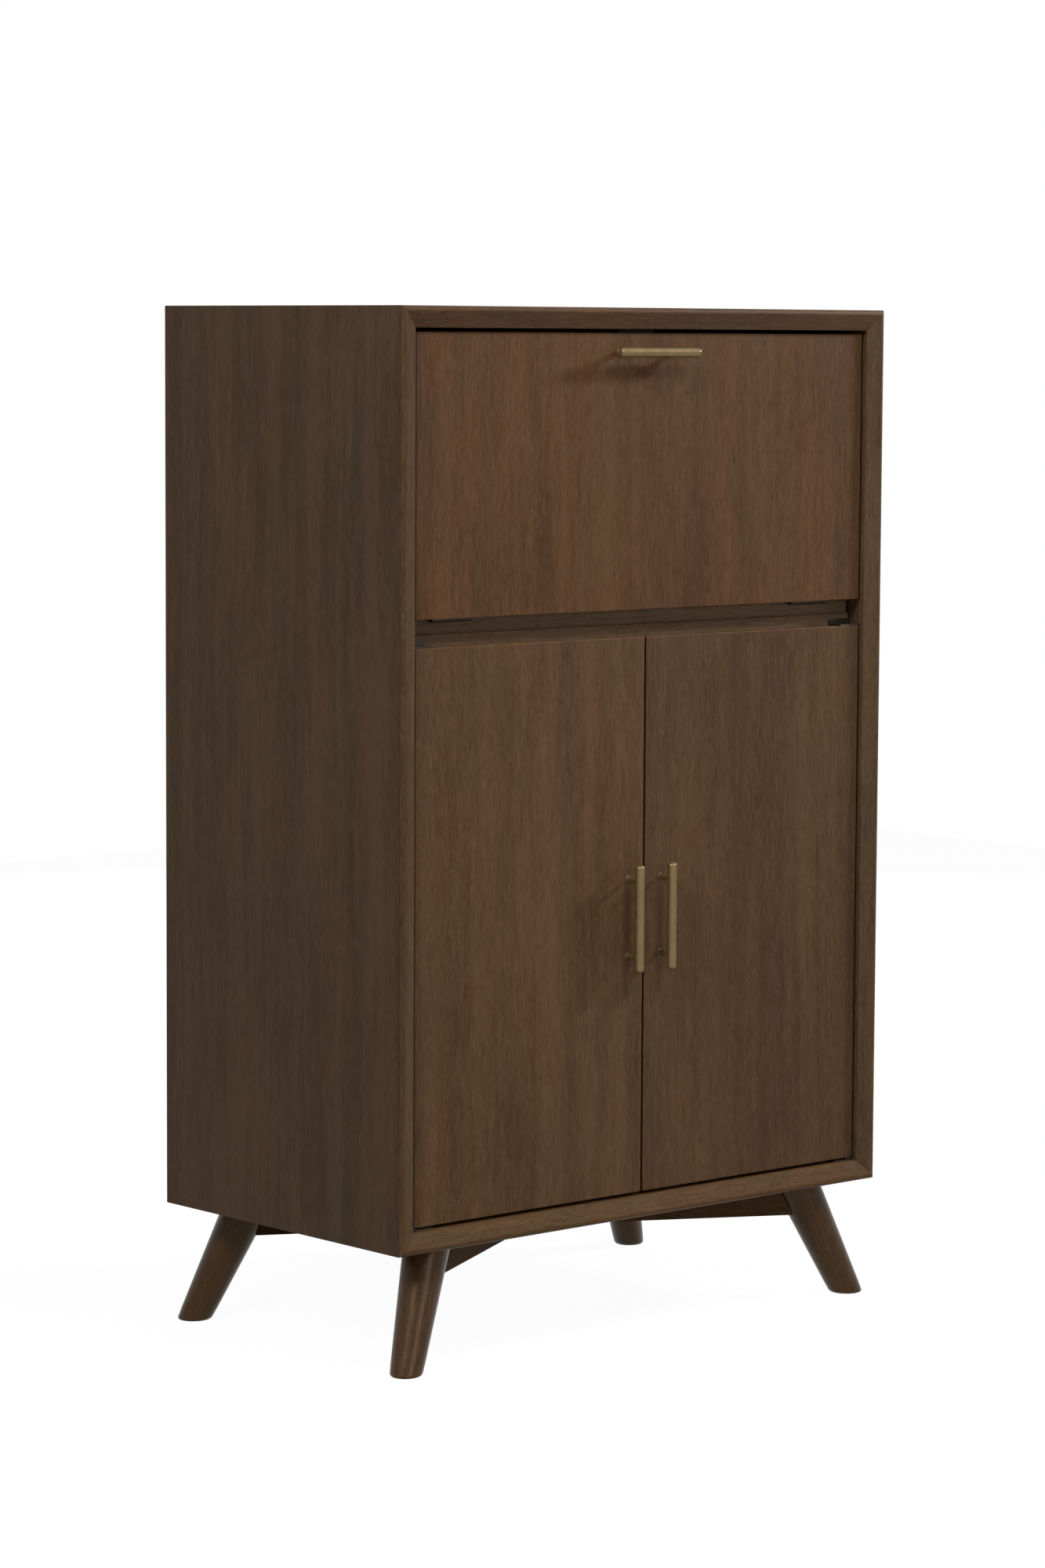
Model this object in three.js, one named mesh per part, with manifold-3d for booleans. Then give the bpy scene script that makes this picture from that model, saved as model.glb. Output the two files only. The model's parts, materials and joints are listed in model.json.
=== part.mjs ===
// Bar cabinet with a fold-out shelf above two doors, on a splayed wooden base.
// Millimetres, +Z up. X runs to the right as seen from the front and Y runs to the rear.
// The origin is on the floor, in the middle of the cabinet's bounding box.
import * as THREE from 'three';
import { mergeVertices } from 'three/addons/utils/BufferGeometryUtils.js';
import Module from 'manifold-3d';

const wasm = await Module();
wasm.setup();

// Case
const caseWidth = 813;
const caseDepth = 465;
const caseHeight = 1134;
const panelThickness = 26;
const lippingThickness = 25;       // solid strip along the front edges, front to back
const lippingRound = 5.5;          // radius of the strip's outer front corner
const bevelDepth = 10;             // how far the frame slopes back towards the inside
const backThickness = 6;
const backInset = 2;               // back board behind the rear edges
const rabbetWidth = 10;
const hairline = 0.2;              // glue line between mitred and bonded pieces
const seat = 0.3;                  // gap where a turned piece meets its seat
const fit = 0.3;                   // clearance round what is let in
const arris = 1;                   // softened edge of a board
const overrun = 5;                 // cutting solids reach this far past what they cut

// Fixed boards inside
const deckHeight = 761;            // top of the bar deck above the underside of the case
const deckThickness = 18;
const railHeight = 47;
const railThickness = 22;
const shelfHeight = 352;           // top of the loose shelf above the underside of the case
const shelfThickness = 18;
const shelfSetback = 14;           // shelf behind the mid rail's front face
const shelfEndGap = 2;

// Doors and flap
const frontThickness = 20;
const frontSetback = 6;            // door faces behind the inner edge of the frame
const sideGap = 2;                 // shadow gap beside the doors and the flap
const doorMiddleGap = 3;
const doorBottomGap = 4;
const flapTopGap = 4.5;
const flapBottomGap = 1;
const doorTopDrop = 33;            // tops of the doors below the top of the deck
const railGap = 3;                 // rail behind the inner faces of doors and flap

// Bar pulls
const pullLength = 134;
const pullCentres = 96;
const pullRadius = 6;
const pullEdge = 1;                // chamfer on the ends of the bar
const postRadius = 3.5;
const pullStandoff = 22;           // bar centre off the face
const pullFromFlapTop = 24;
const pullFromDoorEdge = 26;

// Splayed base
const legHeight = 151;
const footRadius = 20;
const footRound = 4;               // rounded rim of a foot
const legTopRadius = 29;
const footFromSide = 26.5;         // foot centre inside the side of the case
const footFromFront = 24;
const footFromRear = 20;
const legLean = 72;                // foot centre outside the leg's top, along the diagonal
const stretcherThickness = 24;
const stretcherDepth = 44;
const tenonThickness = 10;         // the stretchers' tenons in the legs
const tenonShoulder = 9;           // shoulder above and below a tenon

// Flap hinges
const hingeWidth = 64;
const hingeFromSide = 46;
const hingeLeaf = 2;               // leaf thickness
const hingeReach = 22;             // from the pin to the far edge of a leaf
const barrelRadius = 4;
const hingePinRadius = 1.7;
const knuckleGap = 0.4;
const hingePinHead = 0.6;          // pin past the knuckles at each end

// Flap stays
const stayOff = 12;                // bracket pivot off the flap's inner face
const stayStudAngle = 14;          // wall stud behind the vertical through the hinge line, degrees
const stayFromSide = 5.5;          // bar off the case side
const stayThickness = 3;
const stayWidth = 14;
const stayTail = 22;               // bar past the wall stud when the flap is open
const staySlot = 6.8;
const studRadius = 3;
const studHeadRadius = 5;
const studHead = 1.8;
const stayPlay = 0.3;              // side play between bar, heads and bracket
const bracketLeaf = 2;
const bracketLength = 44;
const bracketWidth = 18;
const wallPlateLength = 46;
const wallPlateWidth = 20;
const wallPlateThickness = 2;

// Door pivots
const pivotIn = 5;                 // pivot in from the door's outer edge
const pivotBack = 5;               // pivot behind the door's front face
const pivotPinRadius = 2.2;
const pivotPinLength = 7;
const pivotCollarRadius = 4;
const pivotPlateLength = 34;
const pivotPlateWidth = 9;
const pivotPlate = 1.8;
const socketPlate = 2;
const socketProud = 0.1;           // socket plate stands out of the door's edge
const bracketLiftShare = 0.6;      // upright of the top bracket, of the room below the open flap

// Catches
const catchWidth = 60;
const catchHeight = 18;
const catchDepth = 20;
const strikeWidth = 22;
const strikeHeight = 11;
const strikeThickness = 1.5;
const strikeFromEdge = 5;
const strikeFromTop = 2;           // strike below the top edge of the flap

// Shelf pins
const pinRadius = 2.5;
const pinInside = 9;
const pinOutside = 10;
const pinCollar = 1.2;
const pinCollarRadius = 4;
const pinFromFront = 60;           // pin rows in from the front and rear edges of the shelf
const pinPitch = 32;
const pinRows = 3;                 // holes in a row: the middle one carries the shelf

// Facets
const roundSides = 32;
const smallSides = 16;
const cornerSteps = 6;             // flats in a rounded corner

// Values worked out from the sizes above
const halfWidth = caseWidth / 2;
const innerHalfWidth = halfWidth - panelThickness;
const floorInside = panelThickness;
const ceilingInside = caseHeight - panelThickness;
const frontFace = bevelDepth + frontSetback;
const innerFace = frontFace + frontThickness;
const railFront = innerFace + railGap;
const railBack = railFront + railThickness;
const rabbetDepth = backThickness + backInset;
const backFront = caseDepth - rabbetDepth;
const doorBottom = floorInside + doorBottomGap;
const doorTop = deckHeight - doorTopDrop;
const doorHeight = doorTop - doorBottom;
const doorWidth = innerHalfWidth - sideGap - doorMiddleGap / 2;
const flapWidth = (innerHalfWidth - sideGap) * 2;
const flapBottom = deckHeight + flapBottomGap;
const flapHeight = ceilingInside - flapTopGap - flapBottom;
const stayRoom = backFront - innerFace;
const stayAlong = flapHeight * stayRoom / (flapHeight + stayRoom);   // suits both height and depth
const bracketLift = (doorTopDrop - frontThickness) * bracketLiftShare;
const pullFront = frontFace - pullStandoff - pullRadius;

// Colours of the finishes
const walnut = { color: 0x5b4330, roughness: 0.55, metalness: 0 };
const walnutSolid = { color: 0x5e4631, roughness: 0.5, metalness: 0 };
const satinBrass = { color: 0x9a8253, roughness: 0.35, metalness: 1 };
const bronzedSteel = { color: 0x4b433b, roughness: 0.4, metalness: 1 };
const darkPlastic = { color: 0x2c2724, roughness: 0.6, metalness: 0 };

// Shares its corner points between neighbouring faces and drops faces without area.
function weld(geometry) {
  const bare = geometry.clone();
  bare.deleteAttribute('normal');
  bare.deleteAttribute('uv');
  const merged = mergeVertices(bare);
  const index = merged.index.array;
  const faces = [];
  for (let i = 0; i < index.length; i += 3) {
    const [a, b, c] = [index[i], index[i + 1], index[i + 2]];
    if (a !== b && b !== c && c !== a) faces.push(a, b, c);
  }
  merged.setIndex(faces);
  return merged;
}

// A closed geometry as a solid that can be cut and joined.
function solid(geometry) {
  const welded = weld(geometry);
  return new wasm.Manifold(new wasm.Mesh({
    numProp: 3,
    vertProperties: welded.attributes.position.array,
    triVerts: Uint32Array.from(welded.index.array),
  }));
}

function geometryOf(body) {
  const mesh = body.getMesh();
  const geometry = new THREE.BufferGeometry();
  const corners = new Float32Array(mesh.vertProperties);
  geometry.setAttribute('position', new THREE.BufferAttribute(corners, mesh.numProp));
  geometry.setIndex(new THREE.BufferAttribute(Uint32Array.from(mesh.triVerts), 1));
  return geometry;
}

function cut(geometry, cutters) {
  return geometryOf(cutters.reduce((body, cutter) => body.subtract(solid(cutter)), solid(geometry)));
}

function join(geometries) {
  return geometryOf(geometries.map(solid).reduce((body, other) => body.add(other)));
}

// A box between two corners.
function boxBetween([x0, y0, z0], [x1, y1, z1]) {
  const box = new THREE.BoxGeometry(Math.abs(x1 - x0), Math.abs(y1 - y0), Math.abs(z1 - z0));
  return box.translate((x0 + x1) / 2, (y0 + y1) / 2, (z0 + z1) / 2);
}

// A turned piece from [radius, height] pairs, closed on its axis, with the axis laid along X, Y or Z.
function turned(profile, axis, sides) {
  const points = profile.map(([radius, height]) => new THREE.Vector2(radius, height));
  const body = new THREE.LatheGeometry(points, sides);
  if (axis === 'x') body.rotateZ(-Math.PI / 2);
  if (axis === 'z') body.rotateX(Math.PI / 2);
  return body;
}

// Points on an arc round [x, y] from one angle to another, both ends included.
function arcPoints([x, y], radius, from, to) {
  return Array.from({ length: cornerSteps + 1 }, (_, i) => {
    const angle = from + (to - from) * i / cornerSteps;
    return [x + radius * Math.cos(angle), y + radius * Math.sin(angle)];
  });
}

// A plain round bar from one height to another along its axis.
function rod(radius, from, to, axis, sides = smallSides) {
  const low = Math.min(from, to);
  const high = Math.max(from, to);
  return turned([[0, low], [radius, low], [radius, high], [0, high]], axis, sides);
}

// A board in the XZ plane with softened edges: its thickness runs from Y = 0 to the rear.
function board(width, height, thickness, soft = arris) {
  const halfW = width / 2 - soft;
  const halfH = height / 2 - soft;
  const outline = new THREE.Shape([
    new THREE.Vector2(-halfW, -halfH), new THREE.Vector2(halfW, -halfH),
    new THREE.Vector2(halfW, halfH), new THREE.Vector2(-halfW, halfH),
  ]);
  const slab = new THREE.ExtrudeGeometry(outline, {
    depth: thickness - soft * 2,
    bevelThickness: soft,
    bevelSize: soft,
    bevelSegments: 2,
  });
  return slab.rotateX(Math.PI / 2).translate(0, thickness - soft, 0);
}

// A frame member with mitred ends. The profile gives [distance in from the outer face, depth].
// The member is the top one: its run lies along X and its inside faces down.
function mitred(profile, run) {
  const section = new THREE.Shape(profile.map(([inward, depth]) => new THREE.Vector2(inward, depth)));
  const member = new THREE.ExtrudeGeometry(section, { depth: 1, bevelEnabled: false });
  const place = member.attributes.position;
  const trim = hairline / Math.SQRT2;
  for (let i = 0; i < place.count; i += 1) {
    const inward = place.getX(i);
    const end = place.getZ(i) * 2 - 1;
    place.setXYZ(i, end * (run / 2 - inward - trim), place.getY(i), -inward);
  }
  return member;
}

function addPiece(parent, name, geometry, finish) {
  const mesh = new THREE.Mesh(weld(geometry), new THREE.MeshStandardMaterial(finish));
  mesh.geometry.computeVertexNormals();
  mesh.name = name;
  parent.add(mesh);
  return mesh;
}

// The four members of a mitred frame, seen from the front.
const frameSides = [
  { name: 'top', turn: 0, x: 0, z: caseHeight, run: caseWidth },
  { name: 'right', turn: Math.PI / 2, x: halfWidth, z: caseHeight / 2, run: caseHeight },
  { name: 'bottom', turn: Math.PI, x: 0, z: 0, run: caseWidth },
  { name: 'left', turn: -Math.PI / 2, x: -halfWidth, z: caseHeight / 2, run: caseHeight },
];

// Section of the sloping strip on the front edges: its outer corner is an arc that runs
// smoothly from the outer face into the slope.
function lippingSection() {
  const slope = Math.atan2(bevelDepth, panelThickness);
  const arcDepth = lippingRound * (1 + Math.sin(slope)) / Math.cos(slope);
  return [
    [0, lippingThickness],
    ...arcPoints([lippingRound, arcDepth], lippingRound, Math.PI, Math.PI * 3 / 2 + slope),
    [panelThickness, bevelDepth], [panelThickness, bevelDepth + lippingThickness],
  ];
}

// Section of a case panel: bevelled in front to carry the strip, rabbeted behind for the back.
function panelSection() {
  const front = lippingThickness + hairline;
  return [
    [0, front], [panelThickness, front + bevelDepth],
    [panelThickness, backFront], [panelThickness - rabbetWidth, backFront],
    [panelThickness - rabbetWidth, caseDepth],
    [arris, caseDepth], [0, caseDepth - arris],
  ];
}

// Heights of the shelf pin holes above the underside of the case.
const pinHeight = shelfHeight - shelfThickness - seat - pinRadius;
const pinHeights = Array.from({ length: pinRows }, (_, i) => pinHeight + (i - (pinRows - 1) / 2) * pinPitch);
const shelfFront = railFront + shelfSetback;
const shelfBack = backFront - shelfEndGap;
const pinDepths = [
  { name: 'front', y: shelfFront + pinFromFront },
  { name: 'rear', y: shelfBack - pinFromFront },
];
const hands = [
  { name: 'left', hand: -1 },
  { name: 'right', hand: 1 },
];

function buildCase(parent) {
  for (const side of frameSides) {
    let panel = mitred(panelSection(), side.run);
    if (side.name === 'left' || side.name === 'right') {
      const toFront = side.name === 'right' ? -1 : 1;
      const holes = pinDepths.flatMap(({ y }) => pinHeights.map((height) => {
        const bottom = pinInside + fit - panelThickness;
        const hole = rod(pinRadius + fit, -panelThickness - overrun, bottom, 'z');
        return hole.translate(toFront * (height - caseHeight / 2), y, 0);
      }));
      panel = cut(panel, holes);
    }
    const suffix = side.name === 'left' || side.name === 'right' ? 'side' : 'panel';
    const panelMesh = addPiece(parent, `${side.name}_${suffix}`, panel, walnut);
    const lipping = mitred(lippingSection(), side.run);
    const strip = addPiece(parent, `${side.name}_front_lipping`, lipping, walnutSolid);
    for (const mesh of [panelMesh, strip]) {
      mesh.position.set(side.x, 0, side.z);
      mesh.rotation.y = side.turn;
    }
  }
  const rabbet = panelThickness - rabbetWidth + fit;
  addPiece(parent, 'back_panel', boxBetween(
    [-halfWidth + rabbet, backFront, rabbet],
    [halfWidth - rabbet, backFront + backThickness, caseHeight - rabbet],
  ), walnut);
}

// Where the flap hinges stand, as the middle of each leaf.
const hingeCentre = innerHalfWidth - hingeFromSide - hingeWidth / 2;

// Recess for one hinge leaf and its barrel. The leaf runs from the hinge line to the rear along Y.
function leafRecess() {
  const half = hingeWidth / 2 + hingePinHead + fit;
  return [
    boxBetween([-half, 0, -hingeLeaf], [half, hingeReach + fit, overrun]),
    rod(barrelRadius + fit * 2, -half, half, 'x', roundSides),
  ];
}

function buildInside(parent) {
  const rail = boxBetween(
    [-innerHalfWidth, railFront, deckHeight - railHeight],
    [innerHalfWidth, railBack, deckHeight],
  );
  const deck = boxBetween(
    [-innerHalfWidth, railBack, deckHeight - deckThickness],
    [innerHalfWidth, backFront, deckHeight],
  );
  const recesses = hands.flatMap(({ hand }) => leafRecess()
    .map((cutter) => cutter.translate(hand * hingeCentre, innerFace, deckHeight)));
  addPiece(parent, 'mid_rail', cut(rail, recesses), walnut);
  addPiece(parent, 'bar_deck', cut(deck, recesses), walnut);

  const shelf = board((innerHalfWidth - shelfEndGap) * 2, shelfBack - shelfFront, shelfThickness);
  const shelfMesh = addPiece(parent, 'adjustable_shelf', shelf, walnut);
  shelfMesh.rotation.x = Math.PI / 2;
  shelfMesh.position.set(0, (shelfFront + shelfBack) / 2, shelfHeight - shelfThickness);

  for (const { name: depthName, y } of pinDepths) {
    for (const { name, hand } of hands) {
      const pin = turned([
        [0, -pinInside], [pinRadius, -pinInside], [pinRadius, seat], [pinCollarRadius, seat],
        [pinCollarRadius, seat + pinCollar], [pinRadius, seat + pinCollar],
        [pinRadius, pinOutside], [0, pinOutside],
      ], 'x', smallSides);
      const mesh = addPiece(parent, `shelf_pin_${depthName}_${name}`, pin, bronzedSteel);
      mesh.position.set(hand * innerHalfWidth, y, pinHeight);
      mesh.rotation.z = hand > 0 ? Math.PI : 0;
    }
  }
}

// Feet and tops of the legs, as seen from above.
const footX = halfWidth - footFromSide;
const feet = [
  { name: 'front_left', x: -footX, y: footFromFront },
  { name: 'front_right', x: footX, y: footFromFront },
  { name: 'rear_left', x: -footX, y: caseDepth - footFromRear },
  { name: 'rear_right', x: footX, y: caseDepth - footFromRear },
];
const baseMiddle = new THREE.Vector3(0, (footFromFront + caseDepth - footFromRear) / 2, 0);

// A leaning round leg, flat on the floor and flat on top. It is an upright turned leg, drawn
// out along its lean so that it is round across its own axis, and then sheared.
function leaningLeg({ x, y }, grow, over) {
  const radiusAt = (height) => footRadius + (legTopRadius - footRadius) * height / legHeight + grow;
  const rim = arcPoints([radiusAt(0) - footRound, footRound], footRound, -Math.PI / 2, 0);
  const top = legHeight + over;
  const leg = turned([[0, 0], ...rim, [radiusAt(top), top], [0, top]], 'z', roundSides);
  const towards = baseMiddle.clone().sub(new THREE.Vector3(x, y, 0)).normalize();
  const lean = legLean / legHeight;
  const stretch = Math.hypot(1, lean) - 1;
  leg.applyMatrix4(new THREE.Matrix4().set(
    1 + stretch * towards.x ** 2, stretch * towards.x * towards.y, lean * towards.x, x,
    stretch * towards.x * towards.y, 1 + stretch * towards.y ** 2, lean * towards.y, y,
    0, 0, 1, 0,
    0, 0, 0, 1,
  ));
  return leg;
}

// A straight bar through the middle of the base, with its ends inside the tops of two legs.
function diagonalBar(angle, thickness, from, to, grow) {
  const reach = Math.hypot(footX, baseMiddle.y - footFromFront) - legLean + grow;
  const bar = boxBetween(
    [-reach, -thickness / 2 - grow, from - grow],
    [reach, thickness / 2 + grow, to + grow],
  );
  return bar.rotateZ(angle).translate(baseMiddle.x, baseMiddle.y, 0);
}

function buildBase(parent) {
  const angle = Math.atan2(baseMiddle.y - footFromFront, footX);
  const low = legHeight - stretcherDepth;
  const lap = legHeight - stretcherDepth / 2;
  const tenon = (turn, grow) => diagonalBar(
    turn, tenonThickness, low + tenonShoulder, legHeight - tenonShoulder, grow,
  );
  for (const foot of feet) {
    const turn = foot.x * (foot.y - baseMiddle.y) > 0 ? angle : -angle;
    const leg = cut(leaningLeg(foot, 0, 0), [tenon(turn, fit)]);
    addPiece(parent, `${foot.name}_leg`, leg, walnutSolid);
  }
  const legs = feet.map((foot) => leaningLeg(foot, seat, overrun));
  const bars = [
    { name: 'cross_stretcher_left_to_rear_right', turn: angle, notch: [low - overrun, lap - fit / 2] },
    { name: 'cross_stretcher_right_to_rear_left', turn: -angle, notch: [lap + fit / 2, legHeight + overrun] },
  ];
  for (const { name, turn, notch } of bars) {
    const shouldered = cut(diagonalBar(turn, stretcherThickness, low, legHeight, 0), legs);
    const crossing = diagonalBar(-turn, stretcherThickness, ...notch, fit);
    addPiece(parent, name, cut(join([shouldered, tenon(turn, 0)]), [crossing]), walnutSolid);
  }
}

// A bar pull in front of a face at Y = 0, centred on the origin, along X or Z.
function buildPull(parent, prefix, along, ends) {
  const half = pullLength / 2;
  const bar = turned([
    [0, -half], [pullRadius - pullEdge, -half], [pullRadius, -half + pullEdge],
    [pullRadius, half - pullEdge], [pullRadius - pullEdge, half], [0, half],
  ], along, roundSides);
  const group = new THREE.Group();
  parent.add(group);
  addPiece(group, `${prefix}_pull_bar`, bar, satinBrass).position.y = -pullStandoff;
  for (const [i, end] of ends.entries()) {
    const reach = (i * 2 - 1) * pullCentres / 2;
    const saddle = rod(pullRadius + seat, -half, half, along, roundSides).translate(0, -pullStandoff, 0);
    const place = along === 'x' ? [reach, 0, 0] : [0, 0, reach];
    const post = rod(postRadius, -pullStandoff, 0, 'y').translate(...place);
    addPiece(group, `${prefix}_pull_post_${end}`, cut(post, [saddle]), satinBrass);
  }
  return group;
}

// The plate on the back of a door or flap that a magnet holds, centred on the origin.
function strikePlate() {
  return boxBetween(
    [-strikeWidth / 2, 0, -strikeHeight / 2],
    [strikeWidth / 2, strikeThickness, strikeHeight / 2],
  );
}

// The pin of a door pivot with its thrust collar, standing up from Z = 0.
function pivotPin(collarTop) {
  const pinTop = collarTop + pivotPinLength;
  return turned([
    [0, -pivotPlate / 2], [pivotCollarRadius, -pivotPlate / 2], [pivotCollarRadius, collarTop],
    [pivotPinRadius, collarTop], [pivotPinRadius, pinTop], [0, pinTop],
  ], 'z', smallSides);
}

// A door turns on two pins near its outer front corner. Its group stands on the pivot axis.
function buildDoor(parent, { name, hand }) {
  const door = new THREE.Group();
  const pivotX = innerHalfWidth - sideGap - pivotIn;
  door.position.set(hand * pivotX, frontFace + pivotBack, doorBottom);
  parent.add(door);

  const middle = -hand * (doorWidth / 2 - pivotIn);
  const plateX = -hand * (pivotPlateLength / 2 - pivotIn + socketProud);
  const halfPlate = pivotPlateLength / 2;
  const halfWide = pivotPlateWidth / 2;
  const plateHole = pivotPinRadius + fit;
  const edges = [{ end: 'bottom', z: 0, up: 1 }, { end: 'top', z: doorHeight, up: -1 }];
  const cuts = [];
  for (const { end, z, up } of edges) {
    const outer = z - up * overrun;
    const floor = z + up * socketPlate;
    cuts.push(boxBetween(
      [plateX - halfPlate - fit, -halfWide - fit, outer],
      [plateX + halfPlate + fit, halfWide + fit, floor],
    ));
    cuts.push(rod(plateHole, outer, z + up * (pivotPinLength + socketPlate), 'z'));
    const socket = cut(boxBetween(
      [plateX - halfPlate, -halfWide, z - up * socketProud],
      [plateX + halfPlate, halfWide, floor],
    ), [rod(plateHole, z - overrun, z + overrun, 'z')]);
    addPiece(door, `${name}_door_${end}_pivot_socket`, socket, bronzedSteel);
  }
  const panel = board(doorWidth, doorHeight, frontThickness).translate(middle, -pivotBack, doorHeight / 2);
  addPiece(door, `${name}_door_panel`, cut(panel, cuts), walnut);

  const pull = buildPull(door, `${name}_door`, 'z', ['lower', 'upper']);
  pull.position.set(-hand * (doorWidth - pivotIn - pullFromDoorEdge), -pivotBack, doorHeight / 2);

  const strikeX = -hand * (doorWidth - pivotIn - strikeFromEdge - strikeWidth / 2);
  const strikeZ = deckHeight - railHeight - catchHeight / 2 - doorBottom;
  addPiece(door, `${name}_door_strike`, strikePlate(), bronzedSteel)
    .position.set(strikeX, frontThickness - pivotBack, strikeZ);

  // What the case holds for this door: a plate below and a bracket on the rail above.
  const held = new THREE.Group();
  held.position.set(hand * pivotX, frontFace + pivotBack, 0);
  parent.add(held);
  const plate = (y0, y1, z0, z1) => boxBetween([plateX - halfPlate, y0, z0], [plateX + halfPlate, y1, z1]);
  const below = join([
    plate(-halfWide, halfWide, floorInside, floorInside + pivotPlate),
    pivotPin(doorBottomGap - pivotPlate - socketProud - seat).translate(0, 0, floorInside + pivotPlate),
  ]);
  addPiece(held, `${name}_door_bottom_pivot`, below, bronzedSteel);
  const tongue = doorTop + socketProud + seat;
  const railFace = railFront - frontFace - pivotBack;
  const above = join([
    plate(-halfWide, railFace, tongue, tongue + pivotPlate),
    plate(railFace - pivotPlate, railFace, tongue, tongue + bracketLift),
    rod(pivotPinRadius, tongue - socketProud - seat - pivotPinLength, tongue + pivotPlate / 2, 'z'),
  ]);
  addPiece(held, `${name}_door_top_pivot`, above, bronzedSteel);
}

// One leaf of a flap hinge with its share of the barrel: the leaf lies to the rear of the
// pin, its upper face level with the pin's axis.
function hingeLeafSolid(knuckles) {
  const half = hingeWidth / 2;
  const leafStart = barrelRadius + knuckleGap;
  const pieces = [boxBetween([-half, leafStart, -hingeLeaf], [half, hingeReach, 0])];
  for (const [from, to] of knuckles) {
    pieces.push(rod(barrelRadius, from, to, 'x'));
    pieces.push(boxBetween([from, 0, -hingeLeaf], [to, leafStart + hingeLeaf, 0]));
  }
  return cut(join(pieces), [rod(hingePinRadius + fit, -half - overrun, half + overrun, 'x')]);
}

function knuckleRanges() {
  const half = hingeWidth / 2;
  const third = hingeWidth / 6 + knuckleGap / 2;
  return {
    deck: [[-half, -third], [third, half]],
    flap: [[-third + knuckleGap, third - knuckleGap]],
  };
}

// Places in the plane of the flap's swing, measured from the hinge line.
const studRadiusFromHinge = Math.hypot(stayAlong, stayOff);
const studAngle = THREE.MathUtils.degToRad(stayStudAngle);
const studPlace = [studRadiusFromHinge * Math.sin(studAngle), studRadiusFromHinge * Math.cos(studAngle)];
const closedReach = Math.hypot(studPlace[0] - stayOff, studPlace[1] - stayAlong);
const closedAngle = Math.atan2(studPlace[1] - stayAlong, studPlace[0] - stayOff);
const openReach = Math.hypot(studPlace[0] + stayAlong, studPlace[1] - stayOff);

// The slotted bar of a stay, lying along +Y from its pivot at the origin, its thickness along X.
function stayBar() {
  const radius = stayWidth / 2;
  const length = openReach + stayTail - radius;
  const slotRadius = staySlot / 2;
  const outline = new THREE.Shape();
  outline.moveTo(0, -radius);
  outline.lineTo(length, -radius);
  outline.absarc(length, 0, radius, -Math.PI / 2, Math.PI / 2);
  outline.lineTo(0, radius);
  outline.absarc(0, 0, radius, Math.PI / 2, Math.PI * 3 / 2);
  const hole = new THREE.Path();
  hole.absarc(0, 0, slotRadius, 0, Math.PI * 2, true);
  const slot = new THREE.Path();
  slot.moveTo(closedReach, slotRadius);
  slot.lineTo(openReach, slotRadius);
  slot.absarc(openReach, 0, slotRadius, Math.PI / 2, -Math.PI / 2, true);
  slot.lineTo(closedReach, -slotRadius);
  slot.absarc(closedReach, 0, slotRadius, -Math.PI / 2, Math.PI / 2, true);
  outline.holes.push(hole, slot);
  const bar = new THREE.ExtrudeGeometry(outline, {
    depth: stayThickness,
    bevelEnabled: false,
    curveSegments: smallSides / 2,
  });
  return bar.translate(0, 0, -stayThickness / 2).rotateX(Math.PI / 2).rotateZ(Math.PI / 2);
}

function buildStay(parent, flap, { name, hand }) {
  const barMiddle = hand * (innerHalfWidth - stayFromSide - stayThickness / 2);
  const wallFace = stayThickness / 2 + stayFromSide;
  const outwards = (distance) => hand * distance;
  const pinAlongX = (radius, from, to) => rod(radius, outwards(from), outwards(to), 'x');

  // Stud on a plate on the case side: the plate touches the side and the stud's head is inside.
  const inner = -stayThickness / 2 - stayPlay;
  const plate = boxBetween(
    [outwards(wallFace), -wallPlateLength / 2, -wallPlateWidth / 2],
    [outwards(wallFace - wallPlateThickness), wallPlateLength / 2, wallPlateWidth / 2],
  );
  const stud = join([
    plate,
    pinAlongX(studHeadRadius, stayThickness / 2 + stayPlay, wallFace - wallPlateThickness / 2),
    pinAlongX(studRadius, inner, wallFace - wallPlateThickness / 2),
    pinAlongX(studHeadRadius, inner - studHead, inner),
  ]);
  addPiece(parent, `${name}_stay_wall_plate`, stud, bronzedSteel)
    .position.set(barMiddle, innerFace + studPlace[0], deckHeight + studPlace[1]);

  // Bracket on the flap: a foot on the inner face, an ear beside the bar and a riveted pin.
  const ear = inner - bracketLeaf;
  const outer = stayThickness / 2 + stayPlay;
  const bracket = join([
    boxBetween(
      [outwards(ear - bracketWidth), 0, -bracketLength / 2],
      [outwards(inner), bracketLeaf, bracketLength / 2],
    ),
    boxBetween([outwards(ear), 0, -stayWidth / 2], [outwards(inner), stayOff, stayWidth / 2]),
    pinAlongX(stayWidth / 2, ear, inner).translate(0, stayOff, 0),
    pinAlongX(studRadius, ear + bracketLeaf / 2, outer + studHead / 2).translate(0, stayOff, 0),
    pinAlongX(studHeadRadius, outer, outer + studHead).translate(0, stayOff, 0),
  ]);
  addPiece(flap, `${name}_stay_flap_bracket`, bracket, bronzedSteel).position.set(barMiddle, 0, stayAlong);

  const swing = new THREE.Group();
  swing.position.set(barMiddle, stayOff, stayAlong);
  swing.rotation.x = closedAngle;
  flap.add(swing);
  addPiece(swing, `${name}_stay_bar`, stayBar(), bronzedSteel);
}

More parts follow.
